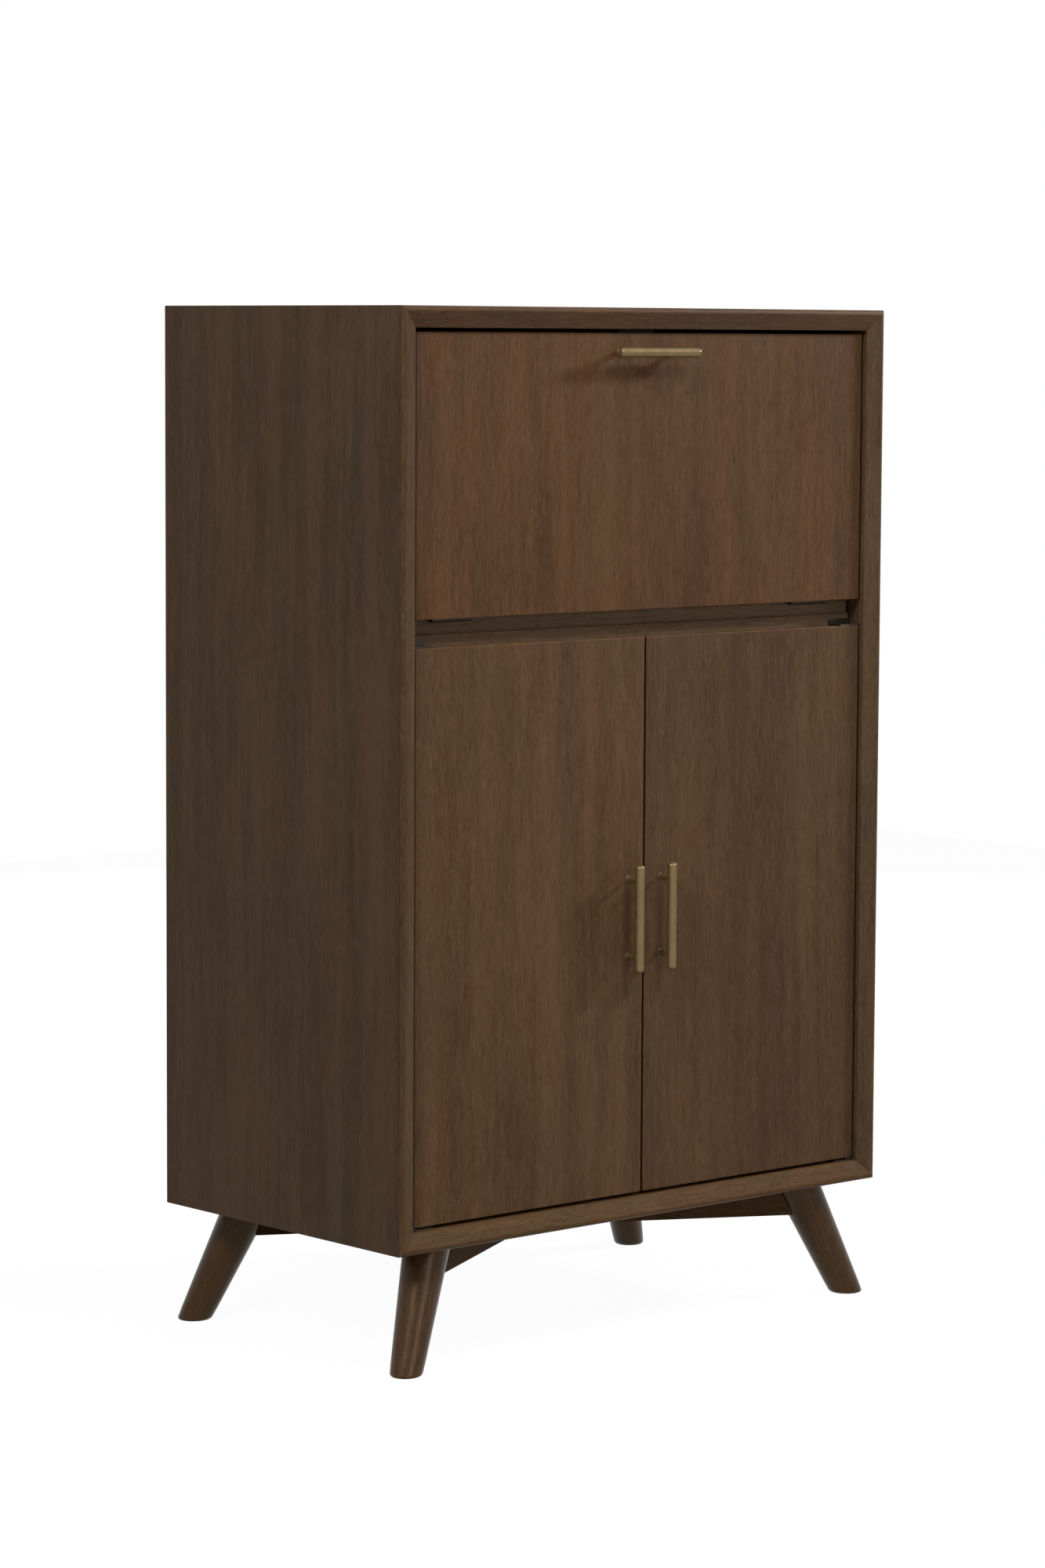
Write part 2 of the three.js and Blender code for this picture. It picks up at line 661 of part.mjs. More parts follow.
// The flap folds down about its lower inner edge. Its group stands on the hinge line.
function buildFlap(parent) {
  const flap = new THREE.Group();
  flap.position.set(0, innerFace, deckHeight);
  parent.add(flap);
  const knuckles = knuckleRanges();

  // The flap's leaf is the deck leaf turned over: it stands up with its back in the flap.
  const recesses = hands.flatMap(({ hand }) => leafRecess()
    .map((cutter) => cutter.rotateY(Math.PI).rotateX(Math.PI / 2).translate(hand * hingeCentre, 0, 0)));
  const panel = board(flapWidth, flapHeight, frontThickness)
    .translate(0, -frontThickness, flapBottomGap + flapHeight / 2);
  addPiece(flap, 'flap_panel', cut(panel, recesses), walnut);

  const pinReach = hingeWidth / 2 + hingePinHead;
  for (const side of hands) {
    const hinge = `${side.name}_flap_hinge`;
    const deckLeaf = addPiece(parent, `${hinge}_deck_leaf`, hingeLeafSolid(knuckles.deck), bronzedSteel);
    deckLeaf.position.set(side.hand * hingeCentre, innerFace, deckHeight);
    const pin = addPiece(parent, `${hinge}_pin`, rod(hingePinRadius, -pinReach, pinReach, 'x'), bronzedSteel);
    pin.position.copy(deckLeaf.position);
    const flapLeaf = addPiece(flap, `${hinge}_flap_leaf`, hingeLeafSolid(knuckles.flap), bronzedSteel);
    flapLeaf.position.x = side.hand * hingeCentre;
    flapLeaf.rotation.set(Math.PI / 2, Math.PI, 0);
    buildStay(parent, flap, side);
  }

  const pull = buildPull(flap, 'flap', 'x', ['left', 'right']);
  pull.position.set(0, -frontThickness, flapBottomGap + flapHeight - pullFromFlapTop);

  addPiece(flap, 'flap_strike', strikePlate(), bronzedSteel)
    .position.z = flapBottomGap + flapHeight - strikeFromTop - strikeHeight / 2;
}

function buildCatches(parent) {
  const front = innerFace + strikeThickness + seat;
  const body = () => board(catchWidth, catchHeight, catchDepth).translate(0, front, catchHeight / 2);
  const flapCatch = addPiece(parent, 'flap_magnet_catch', body(), darkPlastic);
  flapCatch.position.z = ceilingInside - catchHeight;
  const doorCatch = addPiece(parent, 'double_door_magnet_catch', body(), darkPlastic);
  doorCatch.position.z = deckHeight - railHeight - catchHeight;
}

const cabinet = new THREE.Group();
cabinet.position.y = -(caseDepth + pullFront) / 2;
buildBase(cabinet);
const body = new THREE.Group();
body.position.z = legHeight;
cabinet.add(body);
buildCase(body);
buildInside(body);
buildFlap(body);
for (const side of hands) buildDoor(body, side);
buildCatches(body);

export default cabinet;
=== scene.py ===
import json
from math import atan2, cos, pi, radians, sin

import bmesh
import bpy
import numpy as np
from mathutils import Matrix, Vector

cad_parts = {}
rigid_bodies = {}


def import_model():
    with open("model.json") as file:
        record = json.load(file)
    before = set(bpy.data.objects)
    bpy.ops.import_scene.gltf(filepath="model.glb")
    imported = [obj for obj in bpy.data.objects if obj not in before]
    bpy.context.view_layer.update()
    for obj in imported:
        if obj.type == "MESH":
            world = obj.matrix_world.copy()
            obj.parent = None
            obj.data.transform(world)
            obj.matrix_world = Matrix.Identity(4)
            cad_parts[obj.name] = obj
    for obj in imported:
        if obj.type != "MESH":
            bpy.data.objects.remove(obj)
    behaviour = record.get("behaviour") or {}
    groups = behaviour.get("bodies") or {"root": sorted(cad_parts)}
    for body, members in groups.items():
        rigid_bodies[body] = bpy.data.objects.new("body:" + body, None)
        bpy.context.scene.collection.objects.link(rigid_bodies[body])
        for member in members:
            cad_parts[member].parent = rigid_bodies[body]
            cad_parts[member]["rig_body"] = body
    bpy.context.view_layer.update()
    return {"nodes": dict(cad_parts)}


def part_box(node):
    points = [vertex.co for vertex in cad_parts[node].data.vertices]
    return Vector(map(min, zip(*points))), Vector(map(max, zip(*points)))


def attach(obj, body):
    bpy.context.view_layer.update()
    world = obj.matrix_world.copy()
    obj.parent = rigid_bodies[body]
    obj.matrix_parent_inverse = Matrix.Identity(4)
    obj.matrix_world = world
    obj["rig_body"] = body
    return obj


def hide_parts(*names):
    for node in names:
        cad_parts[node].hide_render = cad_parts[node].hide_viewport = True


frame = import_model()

print("packed model loaded:", len(frame["nodes"]), "nodes")

millimetre = 0.001
upright, sideways = (0, 0, 1), (1, 0, 0)
inwardsOf = {"left": 1, "right": -1}    # towards the middle of the cabinet, along X


def metres(sizes, *names):    # sizes by name from a dictionary in millimetres
    values = [sizes[name] * millimetre for name in names]
    return values if len(values) > 1 else values[0]


# camera, floor and light

view = {
    "place": (-3.8492, -4.3173, 1.2492),    # metres
    "yaw": 41.597,        # degrees from straight ahead towards the right
    "pitch": 5.631,       # degrees downwards
    "roll": 0.307,
    "lens": 104.234,
}

studio = {
    "background": 1.0,                # what camera, metal and glass see around the cabinet
    "ambient": 0.05,
    "floorColour": (0.34, 0.34, 0.335),
    "floorWhiteness": 0.80,           # share of plain glow that the camera sees in the floor
    "floorGlow": 1.20,
    "floorSize": 9.0,
    "lamps": {                        # place and size in metres, power in watts
        "rightLamp": {"place": (3.67, -1.38, 2.68), "size": 0.36, "power": 124},
        "leftLamp": {"place": (-3.36, -1.42, 3.25), "size": 1.20, "power": 106},
        "upperLamp": {"place": (0.27, -2.61, 3.75), "size": 0.90, "power": 50},
        "frontLamp": {"place": (-0.80, -5.00, 1.40), "size": 2.00, "power": 44},
        "rearLamp": {"place": (3.20, 3.60, 0.95), "size": 1.60, "power": 95},
    },
    "aim": (0.0, -0.2, 0.75),         # what every lamp looks at
}


def addNode(tree, kind, inputs=None, **settings):
    node = tree.nodes.new(kind)
    for name, value in settings.items():
        setattr(node, name, value)
    for name, value in (inputs or {}).items():
        if isinstance(value, bpy.types.NodeSocket):
            tree.links.new(value, node.inputs[name])
        else:
            node.inputs[name].default_value = value
    return node


def maths(tree, a, b, operation="ADD"):
    return addNode(tree, "ShaderNodeMath", {0: a, 1: b}, operation=operation).outputs[0]


def seenDirectly(tree):    # 1 for camera, glossy and transmission rays, otherwise 0
    path = addNode(tree, "ShaderNodeLightPath").outputs
    shiny = maths(tree, path["Is Glossy Ray"], path["Is Transmission Ray"], "MAXIMUM")
    return maths(tree, path["Is Camera Ray"], shiny, "MAXIMUM")


def mixedOutput(tree, kind, share, plain, seen):    # the seen shader, by its share, over the plain one
    mix = addNode(tree, "ShaderNodeMixShader", {
        "Fac": share, 1: plain.outputs[0], 2: seen.outputs[0],
    })
    addNode(tree, kind, {"Surface": mix.outputs[0]})


def buildCamera():
    camera = bpy.data.objects.new("camera", bpy.data.cameras.new("camera"))
    yaw, pitch, roll = (radians(view[turn]) for turn in ("yaw", "pitch", "roll"))
    ahead = Vector((sin(yaw) * cos(pitch), cos(yaw) * cos(pitch), -sin(pitch)))
    level = Vector((cos(yaw), -sin(yaw), 0))
    above = level.cross(ahead)
    right = level * cos(roll) + above * sin(roll)
    up = above * cos(roll) - level * sin(roll)
    facing = Matrix((right, up, -ahead)).transposed().to_4x4()
    camera.matrix_world = Matrix.Translation(view["place"]) @ facing
    camera.data.lens = view["lens"]
    bpy.context.scene.collection.objects.link(camera)
    bpy.context.scene.camera = camera
    bpy.context.scene.view_settings.view_transform = "Standard"


def buildWorld():
    world = bpy.data.worlds.new("studio")
    world.use_nodes = True
    tree = world.node_tree
    tree.nodes.clear()
    soft, white = (
        addNode(tree, "ShaderNodeBackground", {"Color": (1, 1, 1, 1), "Strength": studio[strength]})
        for strength in ("ambient", "background")
    )
    mixedOutput(tree, "ShaderNodeOutputWorld", seenDirectly(tree), soft, white)
    bpy.context.scene.world = world


def buildFloor():
    half = studio["floorSize"] / 2
    corners = [(-half, -half, 0), (half, -half, 0), (half, half, 0), (-half, half, 0)]
    mesh = bpy.data.meshes.new("floor")
    mesh.from_pydata(corners, [], [(0, 1, 2, 3)])
    floor = bpy.data.objects.new("floor", mesh)
    bpy.context.scene.collection.objects.link(floor)
    paint = bpy.data.materials.new("palePaint")
    paint.use_nodes = True
    tree = paint.node_tree
    tree.nodes.clear()
    matt = addNode(tree, "ShaderNodeBsdfDiffuse", {"Color": (*studio["floorColour"], 1)})
    glow = addNode(tree, "ShaderNodeEmission", {"Strength": studio["floorGlow"]})
    share = maths(tree, seenDirectly(tree), studio["floorWhiteness"], "MULTIPLY")
    mixedOutput(tree, "ShaderNodeOutputMaterial", share, matt, glow)
    mesh.materials.append(paint)


def buildLamps():
    for name, lamp in studio["lamps"].items():
        light = bpy.data.lights.new(name, "AREA")
        light.shape = "DISK"
        light.size = lamp["size"]
        light.energy = lamp["power"]
        holder = bpy.data.objects.new(name, light)
        holder.location = lamp["place"]
        towards = Vector(studio["aim"]) - holder.location
        holder.rotation_euler = towards.to_track_quat("-Z", "Y").to_euler()
        holder.visible_camera = False
        bpy.context.scene.collection.objects.link(holder)


buildCamera()
buildWorld()
buildFloor()
buildLamps()
print("studio ready")


# finishes

# A stretch is how fine a noise is along each axis; it is drawn out along the axis with the least.
walnutLook = {
    "dark": (0.0610, 0.0258, 0.0088),
    "middle": (0.0850, 0.0378, 0.0136),
    "light": (0.1090, 0.0500, 0.0188),
    "reach": 0.070,                        # from the middle shade to the dark and the light one
    "swayStretch": (3.0, 3.0, 0.9),
    "sway": (0.05, 0.05, 0),               # metres, the width in which the grain wanders
    "layers": {                            # stretch, detail and weight in the wood's shade
        "cloud": ((6, 6, 1.8), 3.0, 0.16),
        "band": ((26, 26, 0.55), 3.0, 0.21),
        "patch": ((20, 20, 4), 3.0, 0.13),
        "streak": ((110, 110, 7), 3.0, 0.14),
        "line": ((380, 380, 40), 3.0, 0.20),
        "fleck": ((820, 820, 130), 2.0, 0.16),
    },
    "layerRoughness": 0.62,
    "fineLayers": ("line", "fleck"),       # the open grain
    "hue": ((16, 16, 3.5), 5.0, 0.66),     # stretch, detail and roughness
    "hueSpan": (0.40, 0.50, 0.60),
    "greener": (0.955, 1.00, 1.015),       # tints that wander along the grain
    "redder": (1.045, 1.00, 0.985),
    "bloom": 0.0085,                       # pale lacquer over the open grain
    "bloomSpan": (0.152, 0.216),
    "shineSpan": (0.145, 0.225),
    "pore": ((1500, 1500, 80), 1.0, 0.5),
    "poreSpan": (0.60, 0.72),
    "poreColour": (0.62, 0.60, 0.60),
    "poreDepth": 0.10,                     # millimetres
    "relief": 0.35,
    "gapShadowTone": 0.12,                      # how dark the painted gap shadow beside a front's veneer is
    "gapShadowBlur": 0.5,                        # millimetres
}

lacquers = {
    "satin": {"roughness": (0.46, 0.60), "specular": 0.16, "tint": (0.62, 0.50, 0.40)},
    "turned": {"roughness": (0.24, 0.33), "specular": 0.24, "tint": (1.00, 0.78, 0.50)},
    "matt": {"roughness": (0.60, 0.72), "specular": 0.05, "tint": (0.50, 0.38, 0.28)},
}

# The way of the grain and where it starts, the stain, which on the sides, the frame strips and the rail
# also holds painted light and shade, and for a front its panel with the widths of its painted gap shadow
# at its left and right, in millimetres.
woods = {
    # The sides' darker tone is partly the veneer's own and partly painted shade on faces turned away from
    # the light.
    "sideVeneer": {
        "along": upright, "shift": (0.31, 0.17, 0.40), "stainAndPaintedLight": (0.685, 0.81, 0.97), "reach": 0.042,
    },
    "leftDoorVeneer": {
        "along": upright, "shift": (2.10, 0.60, 1.30), "stainAndPaintedLight": (1.00, 1.12, 1.24),
        "gapShadow": ("left_door_panel", 5.4, 0.3),
    },
    "rightDoorVeneer": {
        "along": upright, "shift": (3.70, 2.60, 0.55), "stainAndPaintedLight": (0.905, 1.00, 1.13),
        "gapShadow": ("right_door_panel", 0.3, 2.0),
    },
    "flapVeneer": {
        "along": upright, "shift": (4.70, 1.10, 0.20), "stainAndPaintedLight": (0.935, 0.92, 0.86),
        "gapShadow": ("flap_panel", 5.4, 2.0),
    },
    "flatVeneer": {"along": sideways, "shift": (0.90, 3.30, 0.70), "stainAndPaintedLight": (0.93, 1.00, 1.04)},
    # The rail's far lighter tone is painted light: it stands in for the light that too little reaches in the
    # recess between the flap and the doors.
    "railPaintedLightVeneer": {"along": sideways, "shift": (2.30, 0.30, 1.70), "stainAndPaintedLight": (1.48, 2.06, 3.20)},
    # The four strips are one solid walnut: their differing tones are partly the wood's own and partly
    # painted light and shade, set for how light falls on each strip's sloping face, darkest on the
    # downward-facing top one.
    "leftStrip": {
        "along": upright, "shift": (1.70, 5.20, 2.20), "stainAndPaintedLight": (0.92, 1.14, 1.50),
        "slot": "walnut_solid", "lacquer": "matt",
    },
    "rightStrip": {
        "along": upright, "shift": (8.30, 2.90, 0.60), "stainAndPaintedLight": (0.96, 1.22, 1.66), "slot": "walnut_solid",
    },
    "topStrip": {
        "along": sideways, "shift": (6.10, 0.40, 1.90), "stainAndPaintedLight": (0.84, 0.92, 1.00), "slot": "walnut_solid",
    },
    "bottomStrip": {
        "along": sideways, "shift": (0.80, 6.60, 3.10), "stainAndPaintedLight": (0.95, 1.045, 0.95), "slot": "walnut_solid",
    },
}

brushedLook = {                            # what all the metals share
    "lines": (3.0, 0.6),                   # detail and roughness
    "lineShare": 0.55,
    "smudge": ((60, 60, 60), 3.0, 0.55),
    "smudgeShare": 0.45,
    "colourSpan": (0.38, 0.58),
    "shineSpan": (0.38, 0.62),
    "specular": 0.2,
    "relief": 0.5,
}

brassLook = {
    "slot": "brass",
    "colour": (0.200, 0.131, 0.058),
    "worn": (0.162, 0.105, 0.046),
    "roughness": (0.26, 0.36),
    "metallic": 0.50,
    "lineDepth": 0.004,                    # millimetres
    "alongX": (90, 2600, 2600),            # stretches of the brushed lines
    "alongZ": (2600, 2600, 90),
}

bronzedLook = {
    "slot": "steel",
    "colour": (0.050, 0.036, 0.025),
    "worn": (0.036, 0.026, 0.018),
    "roughness": (0.34, 0.48),
    "metallic": 0.70,
    "lineDepth": 0.003,
    "plate": (120, 900, 900),
    "turned": (1500, 300, 300),
}

zincLook = {
    "slot": "steel",
    "colour": (0.30, 0.29, 0.27),
    "worn": (0.22, 0.21, 0.20),
    "roughness": (0.36, 0.50),
    "metallic": 0.80,
    "lineDepth": 0.003,
    "turned": (1500, 300, 300),
}

plasticLook = {
    "slot": "catch_plastic",
    "colour": (0.016, 0.013, 0.011),
    "worn": (0.024, 0.020, 0.017),
    "roughness": (0.42, 0.56),
    "specular": 0.12,
    "grain": (900, 900, 900),
    "grainDepth": 0.02,
    "patch": (40, 40, 40),
    "patchSpan": (0.4, 0.6),
    "relief": 0.5,
}


def newFinish(name, slot):
    finish = bpy.data.materials.new(name)
    finish.use_nodes = True
    finish["slot"] = slot
    tree = finish.node_tree
    tree.nodes.clear()
    shader = addNode(tree, "ShaderNodeBsdfPrincipled")
    addNode(tree, "ShaderNodeOutputMaterial", {"Surface": shader.outputs["BSDF"]})
    return finish, tree, shader


def vectorMaths(tree, a, b, operation):
    return addNode(tree, "ShaderNodeVectorMath", {0: a, 1: b}, operation=operation).outputs[0]


def noise(tree, place, stretch, detail=2.0, roughness=0.5):
    node = addNode(tree, "ShaderNodeTexNoise", {
        "Vector": vectorMaths(tree, place, stretch, "MULTIPLY"),
        "Scale": 1.0, "Detail": detail, "Roughness": roughness,
    })
    return node.outputs


def ramp(tree, factor, positions, colours):
    node = addNode(tree, "ShaderNodeValToRGB", {"Fac": factor})
    elements = node.color_ramp.elements
    while len(elements) < len(positions):
        elements.new(0.5)
    for element, position, colour in zip(elements, positions, colours):
        element.position = position
        element.color = (*colour, 1)
    return node.outputs["Color"]


def spread(tree, value, low, high, toLow, toHigh):
    node = addNode(tree, "ShaderNodeMapRange", {
        "Value": value, "From Min": low, "From Max": high, "To Min": toLow, "To Max": toHigh,
    })
    return node.outputs["Result"]


def tinted(tree, factor, a, b, blend="MIX"):
    a, b = ((*colour, 1) if isinstance(colour, tuple) else colour for colour in (a, b))
    node = addNode(
        tree, "ShaderNodeMix", {"Factor": factor, 6: a, 7: b}, data_type="RGBA", blend_type=blend,
    )
    return node.outputs[2]


def dress(tree, shader, colour, shine, height, relief, depth):    # the depth is in millimetres
    bump = addNode(tree, "ShaderNodeBump", {
        "Height": height, "Strength": relief, "Distance": depth * millimetre,
    })
    tree.links.new(colour, shader.inputs["Base Color"])
    tree.links.new(shine, shader.inputs["Roughness"])
    tree.links.new(bump.outputs[0], shader.inputs["Normal"])


def grainLines(tree, place, along, shift):
    # Places in a frame whose Z is the way of the grain, and the same places with a slow noise
    # added across the grain.
    turn = Vector(along).rotation_difference(Vector(upright)).to_euler()
    straight = addNode(tree, "ShaderNodeMapping", {
        "Vector": place, "Location": shift, "Rotation": turn,
    }).outputs[0]
    slow = noise(tree, straight, walnutLook["swayStretch"])["Color"]
    centred = vectorMaths(tree, slow, (0.5, 0.5, 0.5), "SUBTRACT")
    sway = vectorMaths(tree, centred, walnutLook["sway"], "MULTIPLY")
    return straight, vectorMaths(tree, straight, sway, "ADD")


def woodShade(tree, wavy):    # the weighted sum of all the layers, and that of the fine ones
    shade, fine = 0.0, 0.0
    for layer, (stretch, detail, weight) in walnutLook["layers"].items():
        value = noise(tree, wavy, stretch, detail, walnutLook["layerRoughness"])["Fac"]
        part = maths(tree, value, weight, "MULTIPLY")
        shade = maths(tree, shade, part)
        if layer in walnutLook["fineLayers"]:
            fine = maths(tree, fine, part)
    return shade, fine


def paintedGapShadow(tree, place, wood, node, left, right):
    # Painted gap shadow: the wood, darkened outside a panel's span of x; the distance from the span's middle
    # decides.
    low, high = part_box(node)
    start, end = low[0] + left * millimetre, high[0] - right * millimetre
    x = addNode(tree, "ShaderNodeSeparateXYZ", {"Vector": place}).outputs["X"]
    off = maths(tree, maths(tree, x, -(start + end) / 2), 0, "ABSOLUTE")
    half = (end - start) / 2
    blur = metres(walnutLook, "gapShadowBlur")
    kept = spread(tree, off, half, half + blur, 1.0, walnutLook["gapShadowTone"])
    return addNode(tree, "ShaderNodeVectorMath", {0: wood, 3: kept}, operation="SCALE").outputs[0]


def walnut(name, along, shift, stainAndPaintedLight, slot="walnut_veneer", lacquer="satin", gapShadow=None,
           reach=walnutLook["reach"]):
    # Clouds, bands, patches, streaks, lines and flecks are noises drawn out along the grain. Their
    # sum picks a tone between dark and light, and a wandering tint, a pale bloom and dark pores
    # come over it.
    finish, tree, shader = newFinish(name, slot)
    look = walnutLook
    place = addNode(tree, "ShaderNodeTexCoord").outputs["Object"]
    straight, wavy = grainLines(tree, place, along, shift)
    shade, fine = woodShade(tree, wavy)
    # The tones are scaled per piece: by its wood's tone and, for some pieces, by painted light and shade.
    dark, middle, light = (tuple(np.array(look[tone]) * stainAndPaintedLight) for tone in ("dark", "middle", "light"))
    wood = ramp(tree, shade, (0.5 - reach, 0.5, 0.5 + reach), (dark, middle, light))

    hue = noise(tree, wavy, *look["hue"])["Fac"]
    tint = ramp(tree, hue, look["hueSpan"], (look["greener"], (1, 1, 1), look["redder"]))
    wood = tinted(tree, 1.0, wood, tint, "MULTIPLY")
    bloom = ramp(tree, fine, look["bloomSpan"], ((0, 0, 0), (look["bloom"],) * 3))
    wood = tinted(tree, 1.0, wood, bloom, "ADD")
    pore = noise(tree, straight, *look["pore"])["Fac"]
    openPore = spread(tree, pore, *look["poreSpan"], 0.0, 1.0)
    wood = tinted(tree, openPore, wood, tinted(tree, 1.0, wood, look["poreColour"], "MULTIPLY"))
    # Painted shadow of the gap along a front's left and right edges.
    if gapShadow:
        wood = paintedGapShadow(tree, place, wood, *gapShadow)

    shine = spread(tree, fine, *look["shineSpan"], *lacquers[lacquer]["roughness"])
    height = maths(tree, fine, openPore, "SUBTRACT")
    dress(tree, shader, wood, shine, height, look["relief"], look["poreDepth"])
    shader.inputs["Specular IOR Level"].default_value = lacquers[lacquer]["specular"]
    shader.inputs["Specular Tint"].default_value = (*lacquers[lacquer]["tint"], 1)
    return finish


def metal(name, look, brushing):
    # Brushed metal: fine lines are a noise drawn out along the brushing, with smudges over them.
    finish, tree, shader = newFinish(name, look["slot"])
    place = addNode(tree, "ShaderNodeTexCoord").outputs["Object"]
    lines = noise(tree, place, look[brushing], *brushedLook["lines"])["Fac"]
    smudge = noise(tree, place, *brushedLook["smudge"])["Fac"]
    lineWear = maths(tree, lines, brushedLook["lineShare"], "MULTIPLY")
    wear = maths(tree, lineWear, maths(tree, smudge, brushedLook["smudgeShare"], "MULTIPLY"))
    colour = ramp(tree, wear, brushedLook["colourSpan"], (look["worn"], look["colour"]))
    shine = spread(tree, wear, *brushedLook["shineSpan"], *look["roughness"])
    dress(tree, shader, colour, shine, lines, brushedLook["relief"], look["lineDepth"])
    shader.inputs["Metallic"].default_value = look["metallic"]
    shader.inputs["Specular IOR Level"].default_value = brushedLook["specular"]
    return finish


def plastic(name, look):
    # Moulded plastic: a fine grain everywhere, with patches that shine a little more.
    finish, tree, shader = newFinish(name, look["slot"])
    place = addNode(tree, "ShaderNodeTexCoord").outputs["Object"]
    grain = noise(tree, place, look["grain"])["Fac"]
    patch = noise(tree, place, look["patch"])["Fac"]
    colour = ramp(tree, patch, look["patchSpan"], (look["colour"], look["worn"]))
    shine = spread(tree, patch, *look["patchSpan"], *look["roughness"])
    dress(tree, shader, colour, shine, grain, look["relief"], look["grainDepth"])
    shader.inputs["Specular IOR Level"].default_value = look["specular"]
    return finish


walnutOf = {name: walnut(name, **wood) for name, wood in woods.items()}
brassAlongX = metal("brassAlongX", brassLook, "alongX")
brassAlongZ = metal("brassAlongZ", brassLook, "alongZ")
bronzedPlate = metal("bronzedPlate", bronzedLook, "plate")
bronzedTurned = metal("bronzedTurned", bronzedLook, "turned")
zincTurned = metal("zincTurned", zincLook, "turned")
catchPlastic = plastic("catchPlastic", plasticLook)
print("finishes ready:", len(bpy.data.materials))


# meshes

meshing = {
    "merge": 2e-6,         # metres, points nearer than this are one
    "thinnest": 1e-6,      # metres, shorter edges are dissolved
    "sharp": 35,           # degrees, edges that stay crisp in the shading
    "flat": 0.5,           # degrees, faces that lie in one plane
    "bevelled": 50,        # degrees, edges that a bevel rounds
    "facing": 0.9,         # cosine, faces that look along a direction
    "rimSteps": 4,         # faces across a rounded rim
}


def shell(grid):
    # A closed shell from a grid of points: rows run along the piece, columns close round it,
    # and the first and last rows are filled in.
    rows, columns = grid.shape[:2]
    index = np.arange(rows * columns).reshape(rows, columns)
    beside = np.roll(index, -1, axis=1)
    quads = np.stack([index[:-1], beside[:-1], beside[1:], index[1:]], axis=-1).reshape(-1, 4)
    return grid.reshape(-1, 3), quads.tolist() + [index[0, ::-1].tolist(), index[-1].tolist()]


def arc(centre, radius, start, end, steps):
    # Points centre + radius (cos a, sin a), with a from start to end in degrees.
    angle = np.radians(np.linspace(start, end, steps + 1))
    return np.stack([centre[0] + radius * np.cos(angle), centre[1] + radius * np.sin(angle)], axis=-1)


def boxOf(node):
    low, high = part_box(node)
    return np.array(low), np.array(high)


def plate(low, high, flat, corner, edge):
    # A board or plate between two corners of space. Its outline is a rectangle with round
    # corners, each point a corner's centre plus the corner radius times (cos a, sin a). Through
    # the thickness an inset, edge (1 - sin b), rounds both rims over.
    low, high = np.array(low, float), np.array(high, float)
    u, v = (flat + 1) % 3, (flat + 2) % 3
    quarter = np.linspace(0, pi / 2, meshing["rimSteps"] + 1)
    angle = np.concatenate([quarter + turn * pi / 2 for turn in range(4)])
    signU = np.repeat([1, -1, -1, 1], len(quarter))
    signV = np.repeat([1, 1, -1, -1], len(quarter))
    inset = edge * (1 - np.sin(quarter))
    rise = edge * (1 - np.cos(quarter))
    inset = np.concatenate([inset, inset[::-1]])
    level = np.concatenate([low[flat] + rise, high[flat] - rise[::-1]])
    middle, half = (low + high) / 2, (high - low) / 2
    radius = (corner - inset)[:, None]
    grid = np.empty((len(inset), len(angle), 3))
    grid[..., u] = middle[u] + signU * (half[u] - corner) + radius * np.cos(angle)
    grid[..., v] = middle[v] + signV * (half[v] - corner) + radius * np.sin(angle)
    grid[..., flat] = level[:, None]
    return shell(grid)


def turned(profile, start, axis, sides):
    # A turned piece: start + height times the axis + radius (cos a, sin a) across it.
    profile, axis = np.array(profile), np.array(axis, float)
    across = np.cross(axis, (0.0, 1.0, 0.0) if abs(axis[1]) < 0.5 else (1.0, 0.0, 0.0))
    across /= np.linalg.norm(across)
    other = np.cross(axis, across)
    angle = np.linspace(0, 2 * pi, sides, endpoint=False)
    ring = np.cos(angle)[:, None] * across + np.sin(angle)[:, None] * other
    grid = np.array(start) + profile[:, 1, None, None] * axis + profile[:, 0, None, None] * ring
    return shell(grid)


def rodProfile(radius, start, end, edge):
    # A straight rod with both rims rounded by quarter circles.
    return np.concatenate([
        [(0, start)], arc((radius - edge, start + edge), edge, -90, 0, meshing["rimSteps"]),
        arc((radius - edge, end - edge), edge, 0, 90, meshing["rimSteps"]), [(0, end)],
    ])


screw = {                      # shares of the head's radius
    "lines": (0.10, 0.17, 0.30, 0.45, 0.58, 0.66, 0.80, 0.92, 1.0),    # of the grid, from the middle out
    "armWidth": 0.17, "armSlope": 0.07,
    "armReach": 0.66, "reachSlope": 0.08,
    "dome": 0.10,
    "crossDepth": 0.30,
    "sunk": 0.02,
    "under": 0.42,             # depth of the head's flat underside
    "askew": (0.0, 0.6, 0.8),  # a direction along which no screw looks
}


